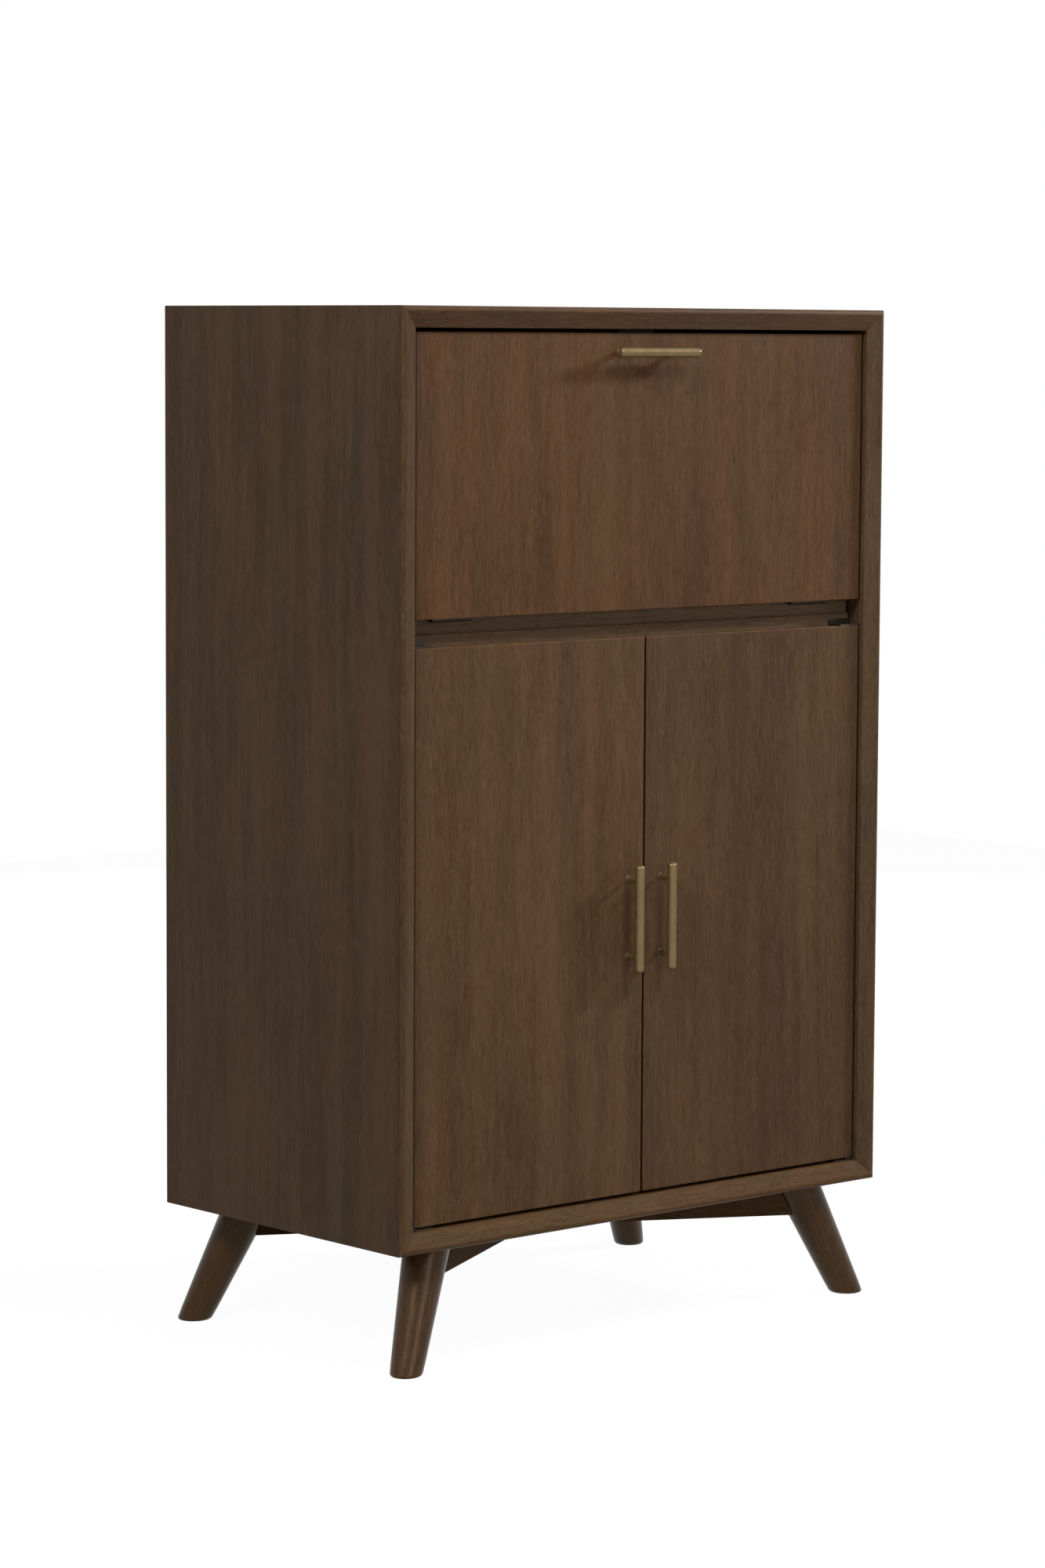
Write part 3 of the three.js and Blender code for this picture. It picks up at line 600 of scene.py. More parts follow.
def screwHead(place, out, radius):
    # A countersunk head with a cross in it. A square grid is drawn to a disc by
    # x = u sqrt(1 - v v / 2), y = v sqrt(1 - u u / 2). The height is a low dome that sinks where
    # a point lies in either arm of the cross.
    lines = np.array(screw["lines"])
    lines = np.concatenate([-lines[::-1], [0], lines])
    u, v = np.meshgrid(lines, lines, indexing="ij")
    x, y = u * np.sqrt(1 - v * v / 2), v * np.sqrt(1 - u * u / 2)
    far = x * x + y * y

    def inArm(off, along):
        beside = np.clip((screw["armWidth"] - np.abs(off)) / screw["armSlope"], 0, 1)
        return beside * np.clip((screw["armReach"] - np.abs(along)) / screw["reachSlope"], 0, 1)

    cross = np.maximum(inArm(x, y), inArm(y, x))
    height = screw["dome"] * (1 - far) - screw["crossDepth"] * cross * (1 - far / 2) - screw["sunk"]
    out = np.array(out, float)
    across = np.cross(out, screw["askew"])
    across /= np.linalg.norm(across)
    other = np.cross(out, across)
    level = x[..., None] * across + y[..., None] * other
    top = np.array(place) + radius * (level + height[..., None] * out)
    bottom = np.array(place) + radius * (level - screw["under"] * out)
    count = len(lines)
    index = np.arange(count * count).reshape(count, count)
    quads = np.stack([index[:-1, :-1], index[1:, :-1], index[1:, 1:], index[:-1, 1:]], axis=-1)
    quads = quads.reshape(-1, 4)
    rim = np.concatenate([index[0, :-1], index[:-1, -1], index[-1, :0:-1], index[:0:-1, 0]])
    after = np.roll(rim, -1)
    lower = count * count
    wall = np.stack([rim, after, after + lower, rim + lower], axis=-1)
    faces = np.concatenate([quads, quads[:, ::-1] + lower, wall])
    return np.concatenate([top.reshape(-1, 3), bottom.reshape(-1, 3)]), faces.tolist()


def joined(name, shells):
    # One mesh from several shells, each with its double points merged and its faces outwards.
    whole = bmesh.new()
    for points, faces in shells:
        part = bpy.data.meshes.new("part")
        part.from_pydata(points.tolist(), [], faces)
        single = bmesh.new()
        single.from_mesh(part)
        bmesh.ops.remove_doubles(single, verts=single.verts, dist=meshing["merge"])
        bmesh.ops.dissolve_degenerate(single, edges=single.edges, dist=meshing["thinnest"])
        bmesh.ops.recalc_face_normals(single, faces=single.faces)
        single.to_mesh(part)
        single.free()
        whole.from_mesh(part)
        bpy.data.meshes.remove(part)
    mesh = bpy.data.meshes.new(name)
    whole.to_mesh(mesh)
    whole.free()
    return mesh


def finished(name, mesh, finish, body, nodes=()):
    piece = bpy.data.objects.new(name, mesh)
    bpy.context.scene.collection.objects.link(piece)
    mesh.materials.clear()
    mesh.materials.append(finish)
    mesh.shade_smooth()
    mesh.set_sharp_from_angle(angle=radians(meshing["sharp"]))
    weighted = piece.modifiers.new("evenShading", "WEIGHTED_NORMAL")
    weighted.keep_sharp = True
    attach(piece, body)
    if nodes:
        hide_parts(*nodes)
    return piece


def faced(piece, finish, direction):
    # Faces of the piece that look along the direction get a finish of their own.
    mesh = piece.data
    normal = np.empty(3 * len(mesh.polygons))
    mesh.polygons.foreach_get("normal", normal)
    chosen = normal.reshape(-1, 3) @ direction > meshing["facing"]
    mesh.materials.append(finish)
    mesh.polygons.foreach_set("material_index", chosen.astype(np.int32))


def bodyOf(node):
    return frame["nodes"][node]["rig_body"]


def replaced(node, mesh, finish):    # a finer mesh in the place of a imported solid
    return finished(node + "_fine", mesh, finish, bodyOf(node), [node])


def standIn(node, shells, finish):
    return replaced(node, joined(node, shells), finish)


def carved(mesh, cutters):
    # The mesh with the cutters taken out of it.
    block = bpy.data.objects.new("block", mesh)
    tool = bpy.data.objects.new("tool", joined("tool", cutters))
    for thing in (block, tool):
        bpy.context.scene.collection.objects.link(thing)
    cut = block.modifiers.new("cut", "BOOLEAN")
    cut.object = tool
    cut.operation = "DIFFERENCE"
    cut.solver = "EXACT"
    cut.use_self = True
    bpy.context.view_layer.update()
    graph = bpy.context.evaluated_depsgraph_get()
    result = bpy.data.meshes.new_from_object(block.evaluated_get(graph))
    for thing in (block, tool):
        bpy.data.objects.remove(thing)
    return result


def softened(node, finish, width, segments=2):
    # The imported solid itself, merged, with its crisp edges rounded by a small bevel.
    mesh = frame["nodes"][node].data.copy()
    single = bmesh.new()
    single.from_mesh(mesh)
    bmesh.ops.remove_doubles(single, verts=single.verts, dist=meshing["merge"])
    bmesh.ops.dissolve_limit(
        single, angle_limit=radians(meshing["flat"]), use_dissolve_boundaries=False,
        verts=single.verts, edges=single.edges, delimit={"NORMAL"},
    )
    single.to_mesh(mesh)
    single.free()
    piece = replaced(node, mesh, finish)
    bevel = piece.modifiers.new("softEdges", "BEVEL")
    bevel.width = width
    bevel.segments = segments
    bevel.limit_method = "ANGLE"
    bevel.angle_limit = radians(meshing["bevelled"])
    bevel.harden_normals = False
    piece.modifiers.move(1, 0)    # before the even shading
    return piece


# case: mitred panels, the rounded sloping front frame and the back

case = {                   # millimetres
    "depth": 465,          # from the back to the frame's outer front corner, before its rounding
    "slope": 10,           # how far the front frame falls back towards the inside
    "frameDepth": 25,      # the solid frame, front to back
    "frameRound": 5.5,     # radius of its outer front corner
    "roundSteps": 10,
    "innerRound": 0.4,     # its inner front corner
    "innerSet": 0.3,       # the middle of that corner, behind the slope's end
    "innerTurn": 60,       # degrees of that corner's arc
    "edge": 1.2,           # rounded edges along the mitres
    "edgeRows": 5,         # of points along those edges
    "rearRound": 2,
    "rearSteps": 5,
    "glueLine": 0.1,
    "rabbet": (10, 8),     # width and depth of the step for the back
    "backSoft": 0.6,
}
caseLow, caseHigh = boxOf("bottom_panel")[0][2], boxOf("top_panel")[1][2]
caseLeft, caseRight = boxOf("left_side")[0][0], boxOf("right_side")[1][0]
caseFront = boxOf("left_side")[1][1] - metres(case, "depth")
caseWidth = (caseRight - caseLeft) / millimetre
caseHeight = (caseHigh - caseLow) / millimetre
caseThick = (boxOf("left_side")[1][0] - caseLeft) / millimetre


def framePlaces():
    # Each member's turn about Y, the middle of its run from the case's lower middle, and its run.
    return {
        "top": (0, 0, caseHeight, caseWidth),
        "right": (90, caseWidth / 2, caseHeight / 2, caseHeight),
        "bottom": (180, 0, 0, caseWidth),
        "left": (-90, -caseWidth / 2, caseHeight / 2, caseHeight),
    }


def stripSection():
    # A strip of the front frame, as (inward, depth) points: its face falls back by the slope.
    tilt = atan2(case["slope"], caseThick)
    radius, inner = case["frameRound"], case["innerRound"]
    arcDepth = radius * (1 + sin(tilt)) / cos(tilt)
    return np.concatenate([
        [(0, case["frameDepth"])],
        arc((radius, arcDepth), radius, 180, 270 + np.degrees(tilt), case["roundSteps"]),
        arc((caseThick - inner, case["slope"] + case["innerSet"]), inner, -case["innerTurn"], 0, 3),
        [(caseThick, case["slope"] + case["frameDepth"])],
    ])


def panelSection():
    # A panel behind its strip: a rabbet for the back inside, a rounded rear edge outside.
    front = case["frameDepth"] + case["glueLine"]
    step, stepDepth = case["rabbet"]
    rear, deep = case["rearRound"], case["depth"]
    return np.concatenate([
        [(0, front), (caseThick, front + case["slope"]), (caseThick, deep - stepDepth)],
        [(caseThick - step, deep - stepDepth), (caseThick - step, deep)],
        arc((rear, deep - rear), rear, 90, 180, case["rearSteps"]),
    ])


def mitred(section, place):
    # A frame member. The section's (inward, depth) points are carried along the run x. Near an
    # end the points sink to at least edge (1 - cos a) while x grows to run / 2 - edge (1 - sin a),
    # and no point passes the mitre plane x = run / 2 - inward.
    turn, x0, z0, run = place
    inward, depth = np.array(section).T
    sweep = np.radians(np.linspace(0, 45, case["edgeRows"]))[:, None]
    sunk = np.maximum(inward, case["edge"] * (1 - np.cos(sweep)))
    x = np.minimum(run / 2 - case["edge"] * (1 - np.sin(sweep)), run / 2 - case["glueLine"] - sunk)
    x = np.concatenate([-x[::-1], x])
    down = -np.concatenate([sunk[::-1], sunk])
    angle = radians(turn)
    grid = np.stack([
        x0 + x * cos(angle) + down * sin(angle),
        np.broadcast_to(depth, x.shape),
        z0 - x * sin(angle) + down * cos(angle),
    ], axis=-1) * millimetre
    return shell(grid + np.array([0, caseFront, caseLow]))


def buildCase():
    for side, place in framePlaces().items():
        standing = side in inwardsOf
        node = side + ("_side" if standing else "_panel")
        veneer = walnutOf["sideVeneer" if standing else "flatVeneer"]
        mesh = joined(node, [mitred(panelSection(), place)])
        if standing:
            mesh = carved(mesh, pinHoles(side))
        replaced(node, mesh, veneer)
        strip = standIn(side + "_front_lipping", [mitred(stripSection(), place)], walnutOf[side + "Strip"])
        turn = radians(place[0])
        faced(strip, veneer, (sin(turn), 0, cos(turn)))
    low, high = boxOf("back_panel")
    soft = metres(case, "backSoft")
    standIn("back_panel", [plate(low, high, 1, soft * 2, soft)], walnutOf["sideVeneer"])


shelfPins = {                       # millimetres
    "radius": 2.5, "edge": 0.5,
    "within": 9.0, "out": 10.0,     # a pin's reach into the side and out of it
    "collar": 4.0, "collarThickness": 1.2, "collarEdge": 0.3,
    "gap": 0.3,                     # between the collar and the side
    "sides": 32,
    "hole": 2.8, "holeDepth": 9.3,
    "chamfer": 0.4,                 # round the mouth of a hole
    "air": 0.1, "proud": 2.0,       # how far the chamfer and the whole cutter stand out
    "holeSides": 24,
    "rows": (-1, 0, 1), "pitch": 32,
    "shelfCorner": 1.2, "shelfEdge": 1.1,
}


def pinPlaces(side):
    inner = -inwardsOf[side] * (caseWidth / 2 - caseThick) * millimetre
    for depth in ("front", "rear"):
        low, high = boxOf(f"shelf_pin_{depth}_{side}")
        middle = (low + high) / 2
        yield np.array([inner, middle[1], middle[2]])


def pinHoles(side):
    # A cutter for each hole, turned about X, wider at its mouth.
    hole, deep, chamfer = (shelfPins[key] for key in ("hole", "holeDepth", "chamfer"))
    air, proud = shelfPins["air"], shelfPins["proud"]
    mouth = hole + chamfer + air
    profile = np.array([
        (0, -deep), (hole, -deep), (hole, -chamfer), (mouth, air), (mouth, proud), (0, proud),
    ]) * millimetre
    for place in pinPlaces(side):
        for row in shelfPins["rows"]:
            start = place + np.array([0, 0, row * metres(shelfPins, "pitch")])
            yield turned(profile, start, (inwardsOf[side], 0, 0), shelfPins["holeSides"])


def pinProfile():
    # From the end within the side: a shank, a collar with rounded rims, and a rounded end.
    radius, edge, collar, soft = (shelfPins[key] for key in ("radius", "edge", "collar", "collarEdge"))
    within, gap, out = (shelfPins[key] for key in ("within", "gap", "out"))
    top = gap + shelfPins["collarThickness"]
    return np.concatenate([
        [(0, -within), (radius, -within), (radius, gap)],
        arc((collar - soft, gap + soft), soft, -90, 0, 3),
        arc((collar - soft, top - soft), soft, 0, 90, 3),
        [(radius, top)],
        arc((radius - edge, out - edge), edge, 0, 90, 4),
        [(0, out)],
    ]) * millimetre


def buildShelf():
    low, high = boxOf("adjustable_shelf")
    corner, edge = metres(shelfPins, "shelfCorner", "shelfEdge")
    standIn("adjustable_shelf", [plate(low, high, 2, corner, edge)], walnutOf["flatVeneer"])
    for side, inwards in inwardsOf.items():
        for depth, place in zip(("front", "rear"), pinPlaces(side)):
            pin = turned(pinProfile(), place, (inwards, 0, 0), shelfPins["sides"])
            standIn(f"shelf_pin_{depth}_{side}", [pin], bronzedTurned)


buildCase()
buildShelf()
print("case and shelf done")


# base: leaning legs and the crossed stretchers

base = {                                      # millimetres
    "footRadius": 20.0, "topRadius": 29.0,    # across the leg's own axis
    "lean": 72.0,                             # foot outside the top, along the diagonal
    "footRound": 4.5, "footSteps": 8,
    "topRound": 0.6,
    "sides": 64,
    "flankRows": 14,
    "legStain": (0.60, 0.60, 0.62),
    "legGrain": (0.0, 0.9, 0.2),              # where a leg's grain starts
    "legGrainStep": (0.37, 0.53, 0.0),
    "stretcherSoft": 1.2,
    "stretcherSegments": 3,
    "stretcherStain": (0.84, 0.94, 1.04),
    "stretcherGrain": (1.3, 0.2, 0.6),
}


def leaningLeg(foot, height):
    # A leg is upright rings of radius r(z), drawn out by the lean's secant along the lean and
    # moved along it in proportion to z; its foot is rounded by a quarter circle.
    rim, topRim = base["footRound"], base["topRound"]
    widen = (base["topRadius"] - base["footRadius"]) / height
    edge = arc((base["footRadius"] - rim, rim), rim, -90, 0, base["footSteps"])
    top = arc((base["topRadius"] - topRim, height - topRim), topRim, 0, 90, 3)
    between = np.linspace(rim, height - topRim, base["flankRows"])[1:-1]
    flank = np.stack([base["footRadius"] + widen * between, between], axis=-1)
    radius, z = np.concatenate([[(0, 0)], edge, flank, top, [(0, height)]]).T
    inward = np.array([-foot[0], -foot[1]])
    inward /= np.linalg.norm(inward)
    across = np.array([-inward[1], inward[0]])
    slant = base["lean"] / height
    angle = np.linspace(0, 2 * pi, base["sides"], endpoint=False)
    forth = np.outer(radius, np.cos(angle)) * np.hypot(1, slant) + (z * slant)[:, None]
    aside = np.outer(radius, np.sin(angle))
    grid = np.empty((len(z), len(angle), 3))
    grid[..., :2] = foot + forth[..., None] * inward + aside[..., None] * across
    grid[..., 2] = z[:, None]
    return shell(grid * millimetre), (*inward * slant, 1.0)


def footReach(extreme, middleY, height):
    # How far the floor ring of a foot reaches past its centre along X and Y: the half sizes of an
    # ellipse drawn out by the lean's secant along the diagonal.
    diagonal = np.array([extreme[0], extreme[1] - middleY])
    diagonal /= np.linalg.norm(diagonal)
    stretch = np.hypot(1, base["lean"] / height)
    return base["footRadius"] * np.sqrt(1 + (stretch ** 2 - 1) * diagonal ** 2)


def buildLeg(node, out, middleY, height):    # out is the sign of the foot's X and Y
    low, high = (corner[:2] / millimetre for corner in boxOf(node))
    extreme = np.where(out > 0, high, low)
    foot = extreme - out * footReach(extreme, middleY, height)
    (points, faces), axis = leaningLeg(foot - np.array([0, middleY]), height)
    points = points + np.array([0, middleY, 0]) * millimetre
    shift = np.array(base["legGrain"]) + np.array(base["legGrainStep"]) * (*out, 0)
    wood = walnut(node + "Wood", axis, shift, base["legStain"], "walnut_solid", "turned")
    standIn(node, [(points, faces)], wood)


def buildBase():
    middleY = (boxOf("front_left_leg")[0][1] + boxOf("rear_right_leg")[1][1]) / 2 / millimetre
    height = caseLow / millimetre
    for end, toRear in (("front", -1), ("rear", 1)):
        for side, inwards in inwardsOf.items():
            buildLeg(f"{end}_{side}_leg", np.array([-inwards, toRear]), middleY, height)
    for near, far in (("left", "right"), ("right", "left")):
        node = f"cross_stretcher_{near}_to_rear_{far}"
        low, high = boxOf(node)
        across = inwardsOf[near]
        shift = np.array(base["stretcherGrain"]) * (1, across, 1)
        along = (high[0] - low[0], across * (high[1] - low[1]), 0)
        wood = walnut(node + "Wood", along, shift, base["stretcherStain"], "walnut_solid", "matt")
        softened(node, wood, metres(base, "stretcherSoft"), base["stretcherSegments"])


buildBase()
print("base done")


# boards that fill the case: rail, deck, doors and flap

boards = {               # millimetres
    "soft": 0.5,         # rims of fixed boards
    "doorSoft": 1.1,
    "cornerShare": 1.1,  # a board's corner radius, as a share of its rim
    "nose": 14.4,        # the rail's front stands forward up to here above the doors
    "noseStep": 4.0,
    "recessSide": 0.3,
    "recessCorner": 0.2,
    "recessEdge": 0.1,
    "recessAir": 5.0,    # how far the cutter stands out of the board
    "barrelRecess": 4.6,
    "barrelEdge": 0.02,
    "barrelSides": 32,
    "leafDepth": 2.0,
    "leafReach": 22.3,
}


def board(node, flat, soft):
    low, high = boxOf(node)
    return joined(node, [plate(low, high, flat, soft * boards["cornerShare"], soft)])


def hingeLine(side):
    low, high = boxOf(f"{side}_flap_hinge_pin")
    return (low + high) / 2, (high[0] - low[0]) / 2


def hingeRecess(side, onFlap):
    # Room for one leaf and half of the barrel.
    line, half = hingeLine(side)
    half += metres(boards, "recessSide")
    reach, deep, air = metres(boards, "leafReach", "leafDepth", "recessAir")
    corner, edge = metres(boards, "recessCorner", "recessEdge")
    if onFlap:
        low, high = (-half, -deep, 0), (half, air, reach)
    else:
        low, high = (-half, 0, -deep), (half, reach, air)
    barrel, barrelEdge = metres(boards, "barrelRecess", "barrelEdge")
    yield plate(line + low, line + high, 0, corner, edge)
    yield turned(rodProfile(barrel, -half, half, barrelEdge), line, sideways, boards["barrelSides"])


def railShell(low, high):
    # The rail's section drawn along X: a rounded nose below, the upper front set back behind it.
    (_, front, bottom), (_, rear, top) = low, high
    edge, step, noseHeight = metres(boards, "soft", "noseStep", "nose")
    nose = boxOf("left_door_panel")[1][2] + noseHeight
    section = np.concatenate([
        [(rear, bottom)], arc((front + edge, bottom + edge), edge, 270, 180, 4),
        arc((front + edge, nose - edge), edge, 180, 90, 4), [(front + step, nose)],
        arc((front + step + edge, top - edge), edge, 180, 90, 4), [(rear, top)],
    ])
    grid = np.empty((2, len(section), 3))
    grid[..., 0] = np.array([[low[0]], [high[0]]])
    grid[..., 1:] = section
    return shell(grid)


def buildBoards():
    deckRecesses = [part for side in inwardsOf for part in hingeRecess(side, False)]
    flapRecesses = [part for side in inwardsOf for part in hingeRecess(side, True)]
    soft, doorSoft = metres(boards, "soft", "doorSoft")
    rail = carved(joined("mid_rail", [railShell(*boxOf("mid_rail"))]), deckRecesses)
    rail = replaced("mid_rail", rail, walnutOf["railPaintedLightVeneer"])
    # The rail's top takes the plain flat veneer, without the painted light of its front.
    faced(rail, walnutOf["flatVeneer"], upright)
    replaced("bar_deck", carved(board("bar_deck", 2, soft), deckRecesses), walnutOf["flatVeneer"])
    for side in inwardsOf:
        node = f"{side}_door_panel"
        replaced(node, board(node, 1, doorSoft), walnutOf[side + "DoorVeneer"])
    flap = carved(board("flap_panel", 1, doorSoft), flapRecesses)
    replaced("flap_panel", flap, walnutOf["flapVeneer"])


buildBoards()
print("boards done")


# pulls

pulls = {
    "posts": {            # the two posts of each pull
        "flap": ("left", "right"),
        "left_door": ("lower", "upper"),
        "right_door": ("lower", "upper"),
    },
    "edge": 3.8,          # millimetres, rounded ends of a bar
    "postEdge": 0.3,
    "postFoot": 4.1,      # radius of the small collar against the face
    "footThickness": 0.9,
    "sides": 56,
    "postSides": 40,
}


def postShell(low, high, barY, barRadius):
    # Turned from the face outwards: a thin collar, a hollow curve, and a straight post that ends
    # inside the bar.
    face, radius = high[1], (high[0] - low[0]) / 2
    edge, foot, thin = metres(pulls, "postEdge", "postFoot", "footThickness")
    length = face - barY - barRadius / 2
    profile = np.concatenate([
        [(0, 0), (foot, 0)],
        arc((foot - edge, thin - edge), edge, 0, 90, 3),
        arc((radius + edge, thin + edge), edge, 270, 180, 3),
        [(radius, length), (0, length)],
    ])
    root = np.array([(low[0] + high[0]) / 2, face, (low[2] + high[2]) / 2])
    return turned(profile, root, (0, -1, 0), pulls["postSides"])


def buildPulls():
    for prefix, ends in pulls["posts"].items():
        low, high = boxOf(prefix + "_pull_bar")
        long = int(np.argmax(high - low))
        brass = brassAlongX if long == 0 else brassAlongZ
        middle, half = (low + high) / 2, (high[long] - low[long]) / 2
        radius = (high[1] - low[1]) / 2
        profile = rodProfile(radius, -half, half, metres(pulls, "edge"))
        standIn(prefix + "_pull_bar", [turned(profile, middle, np.eye(3)[long], pulls["sides"])], brass)
        for end in ends:
            node = f"{prefix}_pull_post_{end}"
            standIn(node, [postShell(*boxOf(node), middle[1], radius)], brass)


buildPulls()
print("pulls done")


# flap hinges: leaves with rolled knuckles, pins and screws

hinges = {                                    # millimetres
    "leaves": {                               # the way a leaf lies from the hinge line, and faces
        "deck": {"along": (0.0, 1.0, 0.0), "out": (0.0, 0.0, 1.0)},
        "flap": {"along": (0.0, 0.0, 1.0), "out": (0.0, 1.0, 0.0)},
    },
    "leafStart": 4.4, "leafCorner": 4.0,
    "edge": 0.35,
    "edgeCorner": 0.42,
    "knuckle": 4.0, "bore": 1.85,             # radii
    "knuckleSides": 48,
    "gap": 0.4,                               # between the knuckles
    "webIn": 0.2,                             # the web under a knuckle, in from its ends
    "webStart": 2.8,                          # off the hinge line
    "pin": 1.7, "pinEdge": 0.4, "pinSides": 32,
    "screw": 2.9, "screwRow": 15.0, "screwSpacing": 23.0,
}


def knuckle(line, start, end):
    # A tube along X: the outer and inner walls are circles, the rims between them rounded.
    outer, inner, edge = (hinges[key] for key in ("knuckle", "bore", "edge"))
    ring = np.concatenate([
        arc((outer - edge, end - edge), edge, 0, 90, 3),
        arc((inner + edge, end - edge), edge, 90, 180, 3),
        arc((inner + edge, start + edge), edge, 180, 270, 3),
        arc((outer - edge, start + edge), edge, 270, 360, 3),
    ])
    radius, x = ring.T * millimetre
    angle = np.linspace(0, 2 * pi, hinges["knuckleSides"] + 1)[:, None]
    grid = np.empty((len(angle), len(x), 3))
    grid[..., 0] = line[0] + x
    grid[..., 1] = line[1] + radius * np.cos(angle)
    grid[..., 2] = line[2] + radius * np.sin(angle)
    points, faces = shell(grid)
    return points, faces[:-2]    # the last turn lies on the first, so both end faces are left out


def buildLeaf(side, leaf, line, half, spans):    # half and spans in millimetres along X
    along, out = (np.array(hinges["leaves"][leaf][key]) for key in ("along", "out"))
    node = f"{side}_flap_hinge_{leaf}_leaf"
    flat = int(np.argmax(out))
    reach = along @ (boxOf(node)[1] - line)
    start, corner, edge, edgeCorner, webStart = metres(
        hinges, "leafStart", "leafCorner", "edge", "edgeCorner", "webStart",
    )
    back = line - out * metres(boards, "leafDepth")

    def sideStep(x):
        return np.array([x * millimetre, 0, 0])

    shells = [plate(
        back + along * start + sideStep(-half), line + along * reach + sideStep(half), flat, corner, edge,
    )]
    for low, high in spans:
        shells.append(knuckle(line, low, high))
        shells.append(plate(
            back + along * webStart + sideStep(low + hinges["webIn"]),
            line + along * (start + corner) + sideStep(high - hinges["webIn"]), flat, edgeCorner, edge,
        ))
    standIn(node, shells, bronzedPlate)
    row = line + along * metres(hinges, "screwRow")
    heads = [
        screwHead(row + sideStep(step * hinges["screwSpacing"]), out, metres(hinges, "screw"))
        for step in (-1, 0, 1)
    ]
    finished(f"{side}_{leaf}_leaf_screws", joined("screws", heads), bronzedTurned, bodyOf(node))


def buildHinges():
    for side in inwardsOf:
        line, halfPin = hingeLine(side)
        low, high = boxOf(f"{side}_flap_hinge_deck_leaf")
        half = (high[0] - low[0]) / 2 / millimetre
        gap = hinges["gap"]
        third = half / 3 + gap / 2
        buildLeaf(side, "deck", line, half, [(-half, -third), (third, half)])
        buildLeaf(side, "flap", line, half, [(-third + gap, third - gap)])
        radius, edge = metres(hinges, "pin", "pinEdge")
        pin = turned(rodProfile(radius, -halfPin, halfPin, edge), line, sideways, hinges["pinSides"])
        standIn(f"{side}_flap_hinge_pin", [pin], bronzedTurned)


buildHinges()
print("hinges done")


# stays, pivots, catches, strikes and the screws that hold them

hardware = {                   # millimetres
    "metalSoft": 0.3,
    "pivotSoft": 0.15,
    "plate": 2.0,              # thickness of the stays' wall plates and brackets
    "pivotPlate": 1.8,
    "wallScrew": 16.0,         # screws off the middle of a wall plate
    "bracketScrew": 13.0,
    "bracketFoot": 9.0,        # screw line in from the bracket's far edge
    "pivotScrews": (5.0, 15.0),    # from the pivot plate's inner end
    "topScrewHeight": 5.0,     # above the top pivot's tongue
    "socketScrews": (8.0, 18.0),
    "catchScrew": 24.0,        # off the middle of a catch
    "strikeCorner": 2.0,
    "strikeEdge": 0.4,
    "catchSoft": 1.6,
    "catchCorner": 1.92,
    "pole": (22.0, 2.0),       # width and height of a catch's pole plates
    "poleSpacing": 2.25,       # pole plates off the catch's middle height
    "poleDepth": 4.0,
    "poleOut": 0.12,
    "poleCorner": 0.3,
    "poleEdge": 0.2,
    "backScrewIn": 6.0,        # screws in from the edge of the back
    "backScrews": (4, 6),      # across the back and up it
    "large": 2.7, "small": 2.0,    # head radii
}


def size(name):
    return metres(hardware, name)


def screws(name, body, out, radius, places, finish=bronzedTurned):
    heads = [screwHead(place, out, size(radius)) for place in places]
    finished(name, joined("screws", heads), finish, body)


def xEnds(low, high, inwards):    # a box's end towards the side of the cabinet, and its inner end
    return (low[0], high[0]) if inwards > 0 else (high[0], low[0])


def buildStay(side, inwards):
    for part in ("stay_wall_plate", "stay_bar", "stay_flap_bracket"):
        softened(f"{side}_{part}", bronzedPlate, size("metalSoft"))
    low, high = boxOf(f"{side}_stay_wall_plate")
    outer, _ = xEnds(low, high, inwards)
    face = outer + inwards * size("plate")
    middle = (low + high) / 2
    places = [(face, middle[1] + step * size("wallScrew"), middle[2]) for step in (-1, 1)]
    screws(f"{side}_wall_plate_screws", "case", (inwards, 0, 0), "large", places)
    low, high = boxOf(f"{side}_stay_flap_bracket")
    middle = (low + high) / 2
    _, inner = xEnds(low, high, inwards)
    x, y = inner - inwards * size("bracketFoot"), low[1] + size("plate")
    places = [(x, y, middle[2] + step * size("bracketScrew")) for step in (-1, 1)]
    screws(f"{side}_flap_bracket_screws", "flap", (0, 1, 0), "large", places)


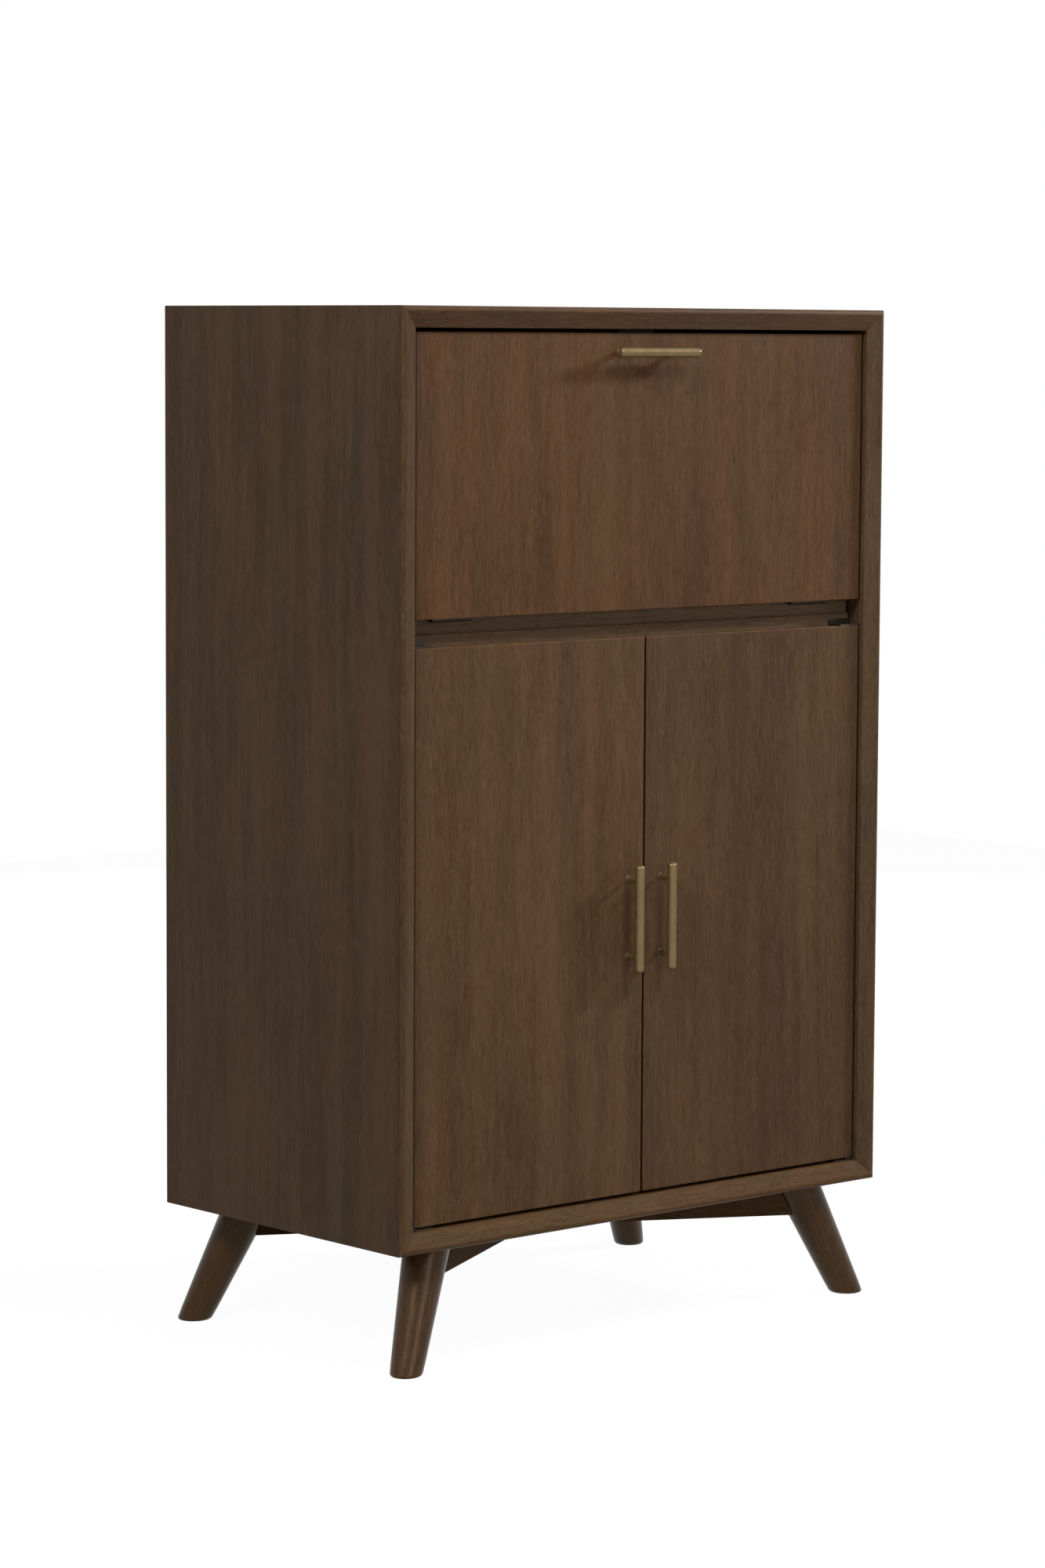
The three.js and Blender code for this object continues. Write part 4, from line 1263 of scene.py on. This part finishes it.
def buildPivots(side, inwards):
    for part in ("bottom_pivot", "top_pivot", "bottom_pivot_socket", "top_pivot_socket"):
        softened(f"{side}_door_{part}", bronzedPlate, size("pivotSoft"))
    for end, up in (("bottom", 1), ("top", -1)):
        low, high = boxOf(f"{side}_door_{end}_pivot")
        _, inner = xEnds(low, high, inwards)
        xs = [inner - inwards * step * millimetre for step in hardware["pivotScrews"]]
        if end == "bottom":
            z, y, out = low[2] + size("pivotPlate"), (low[1] + high[1]) / 2, (0, 0, 1)
        else:
            z = boxOf(f"{side}_door_top_pivot_socket")[1][2] + size("topScrewHeight")
            y, out = high[1] - size("pivotPlate"), (0, -1, 0)
        screws(f"{side}_{end}_pivot_screws", "case", out, "small", [(x, y, z) for x in xs])
        low, high = boxOf(f"{side}_door_{end}_pivot_socket")
        _, inner = xEnds(low, high, inwards)
        z = low[2] if end == "bottom" else high[2]
        y = (low[1] + high[1]) / 2
        places = [(inner - inwards * step * millimetre, y, z) for step in hardware["socketScrews"]]
        screws(f"{side}_{end}_socket_screws", f"{side}_door", (0, 0, -up), "small", places)


def buildStrike(node):
    low, high = boxOf(node)
    strike = plate(low, high, 1, size("strikeCorner"), size("strikeEdge"))
    standIn(node, [strike], bronzedPlate)
    middle = (low + high) / 2
    screws(node + "_screw", bodyOf(node), (0, 1, 0), "small", [(middle[0], high[1], middle[2])])


def buildCatch(node):
    low, high = boxOf(node)
    standIn(node, [plate(low, high, 2, size("catchCorner"), size("catchSoft"))], catchPlastic)
    middle = (low + high) / 2
    width, tall = (value * millimetre for value in hardware["pole"])
    front, back = low[1] - size("poleOut"), low[1] + size("poleDepth")
    poles = []
    for across in (-1, 1):
        for level in (-1, 1):
            x = middle[0] + across * (high[0] - low[0]) / 4
            z = middle[2] + level * size("poleSpacing")
            poles.append(plate(
                (x - width / 2, front, z - tall / 2), (x + width / 2, back, z + tall / 2), 1,
                size("poleCorner"), size("poleEdge"),
            ))
    finished(node + "_poles", joined("poles", poles), bronzedPlate, "case")
    places = [(middle[0] + step * size("catchScrew"), middle[1], low[2]) for step in (-1, 1)]
    screws(node + "_screws", "case", (0, 0, -1), "small", places)


def buildBackScrews():
    low, high = boxOf("back_panel")
    inset = size("backScrewIn")
    across, upwards = hardware["backScrews"]
    xs = np.linspace(low[0] + inset, high[0] - inset, across)
    zs = np.linspace(low[2] + inset, high[2] - inset, upwards)
    places = [(x, high[1], z) for x in xs for z in zs if x in (xs[0], xs[-1]) or z in (zs[0], zs[-1])]
    screws("back_screws", "case", (0, 1, 0), "large", places, zincTurned)


for side, inwards in inwardsOf.items():
    buildStay(side, inwards)
    buildPivots(side, inwards)
for node in ("flap_strike", "left_door_strike", "right_door_strike"):
    buildStrike(node)
for node in ("flap_magnet_catch", "double_door_magnet_catch"):
    buildCatch(node)
buildBackScrews()
print("hardware done")
